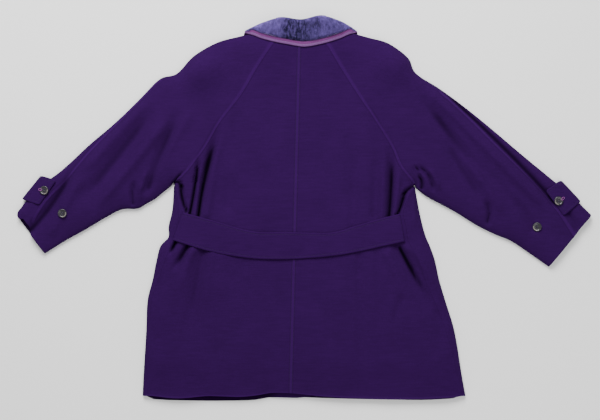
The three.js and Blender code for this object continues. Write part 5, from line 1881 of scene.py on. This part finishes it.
class JACKET_OT_buttons(JacketOperator, Operator):
    """Four buttons with four holes each, sewn on with thread"""

    bl_idname = "jacket.buttons"
    bl_label = "Buttons"

    def execute(self, context):
        colours = self.colours()
        horn = finish_named("horn", horn_finish, tuple(colours.horn))
        rim = finish_named("horn_rim", horn_finish, tuple(colours.horn_rim))
        thread = finish_named("button_thread", thread_finish, tuple(colours.thread))
        ring = BUTTON["ring"] * math.sqrt(0.5)
        holes = [(ring * a, ring * b) for a in (-1, 1) for b in (-1, 1)]
        for name in BUTTON_PLACES:
            disc = piece_from("disc", *button_solid(), horn)
            drill = piece_from("drill", *joined([hole_solid(*hole) for hole in holes]), horn)
            cut = disc.modifiers.new("Holes", "BOOLEAN")
            cut.operation, cut.solver, cut.object = "DIFFERENCE", "EXACT", drill
            mesh = evaluated_mesh(disc)
            for scrap in (disc, drill):
                bpy.data.objects.remove(scrap)
            # Faces of the rim that face up within that stretch take the pale horn, a painted highlight
            mesh.materials.append(rim)
            middle = math.radians(GLINT[name.rsplit("_", 1)[1]])
            for face in mesh.polygons:
                away = math.hypot(*face.center[:2]) / MM
                turn = math.atan2(face.center.y, face.center.x) - middle
                worn = math.cos(turn) > GLINT_SPAN and face.normal.z > GLINT_FACING
                if worn and GLINT_RING[0] < away < GLINT_RING[1]:
                    face.material_index = 1
            frame_matrix = button_frame(name)
            for vertex in mesh.vertices:
                vertex.co = (frame_matrix @ (vertex.co / MM)) * MM
            mesh.update()
            declare(linked(f"horn_{name}", mesh), name)
            level = BUTTON["thick"] - BUTTON["dish"] + BUTTON["thread_rise"]
            bars = [capsule((-ring, y, level), (ring, y, level), BUTTON["thread"]) for y in (-ring, ring)]
            vertices, faces = joined(bars)
            sewn = piece_from(f"thread_{name}", placed(vertices, frame_matrix), faces, thread)
            declare(sewn)
        return {"FINISHED"}


class JACKET_OT_buttonholes(JacketOperator, Operator):
    """Corded buttonholes of the cuff tabs, whose outer ends loop over the buttons' rims"""

    bl_idname = "jacket.buttonholes"
    bl_label = "Buttonholes"

    def execute(self, context):
        sizes = self.sizes()
        for side in SIDES:
            stitched(f"thread_buttonhole_{side}", [buttonhole_line(side)], self.colours().mauve, "button",
                     sizes.purl_pitch, sizes.purl_thickness, sizes.purl_thickness)
        return {"FINISHED"}


class JACKET_OT_topstitching(JacketOperator, Operator):
    """Topstitching beside the seam of the back, along the belt and the tabs, and in the binding's groove"""

    bl_idname = "jacket.topstitching"
    bl_label = "Topstitching"

    def execute(self, context):
        sizes, colours = self.sizes(), self.colours()
        plain = (sizes.stitch_pitch, sizes.stitch_length, sizes.stitch_thickness)
        stitched("thread_back_seam", back_seam_lines(), colours.thread, "wool", *plain)
        stitched("thread_belt", belt_lines(), colours.thread, "wool", *plain)
        for side in SIDES:
            stitched(f"thread_tab_{side}", tab_lines(side), colours.thread, "wool", *plain)
        groove = groove_line(BINDING_STITCH_RISE)
        stitched("thread_binding", [groove], colours.leather_upper, "binding", *plain)
        return {"FINISHED"}


FLOOR_SIZE = 12
FLOOR_LEVEL = -0.0005
WORLD_STRENGTH = 0.62
LIGHTS = (
    ("key", (-0.45, 2.0, 1.9), 1.5, 135),
    ("fill", (0.9, -1.2, 2.4), 2.0, 27),
)
LENS, SENSOR = 85, 36
CAMERA_PLACE = (-0.0075, -0.0029, 3.125)


class JACKET_OT_stage(JacketOperator, Operator):
    """Pale floor, soft light and the camera that looks straight down"""

    bl_idname = "jacket.stage"
    bl_label = "Stage"

    def execute(self, context):
        scene = context.scene
        mesh = bpy.data.meshes.new("floor")
        half = FLOOR_SIZE / 2
        corners = ((-half, -half), (half, -half), (half, half), (-half, half))
        mesh.from_pydata([(x, y, FLOOR_LEVEL) for x, y in corners], [], [(0, 1, 2, 3)])
        mesh.materials.append(plain_finish("floor", (0.9, 0.9, 0.9), 1.0))
        linked("floor", mesh)
        world = bpy.data.worlds.new("studio")
        world.use_nodes = True
        background = world.node_tree.nodes["Background"]
        background.inputs["Color"].default_value = (1, 1, 1, 1)
        background.inputs["Strength"].default_value = WORLD_STRENGTH
        scene.world = world
        for name, place, size, power in LIGHTS:
            light = bpy.data.lights.new(name, "AREA")
            light.shape, light.size, light.energy = "SQUARE", size, power
            lamp = linked(name, light)
            lamp.location = place
            lamp.rotation_euler = (-Vector(place)).to_track_quat("-Z", "Y").to_euler()
        camera = bpy.data.cameras.new("camera")
        camera.lens, camera.sensor_width = LENS, SENSOR
        scene.camera = linked("camera", camera)
        scene.camera.location = CAMERA_PLACE
        return {"FINISHED"}


class JACKET_PT_sidebar(Panel):
    """Every step that builds the jacket, in order"""

    bl_label = "Fur Collar Jacket"
    bl_space_type = "VIEW_3D"
    bl_region_type = "UI"
    bl_category = "Jacket"

    def draw(self, context):
        for step in OPERATORS:
            self.layout.operator(step.bl_idname)
        for group in (context.scene.jacket_sizes, context.scene.jacket_colours):
            box = self.layout.box()
            for name in group.__annotations__:
                box.prop(group, name)


OPERATORS = (
    JACKET_OT_backs, JACKET_OT_fronts, JACKET_OT_sleeves, JACKET_OT_tabs, JACKET_OT_belt, JACKET_OT_collar,
    JACKET_OT_bindings, JACKET_OT_buttons, JACKET_OT_buttonholes, JACKET_OT_topstitching, JACKET_OT_stage,
)
CLASSES = (JacketSizes, JacketColours, *OPERATORS, JACKET_PT_sidebar)


def register():
    for item in CLASSES:
        bpy.utils.register_class(item)
    bpy.types.Scene.jacket_sizes = PointerProperty(type=JacketSizes)
    bpy.types.Scene.jacket_colours = PointerProperty(type=JacketColours)


def unregister():
    del bpy.types.Scene.jacket_colours
    del bpy.types.Scene.jacket_sizes
    for item in reversed(CLASSES):
        bpy.utils.unregister_class(item)


def main():
    register()
    for step in OPERATORS:
        group, name = step.bl_idname.split(".")
        getattr(getattr(bpy.ops, group), name)()


if __name__ == "__main__":
    main()
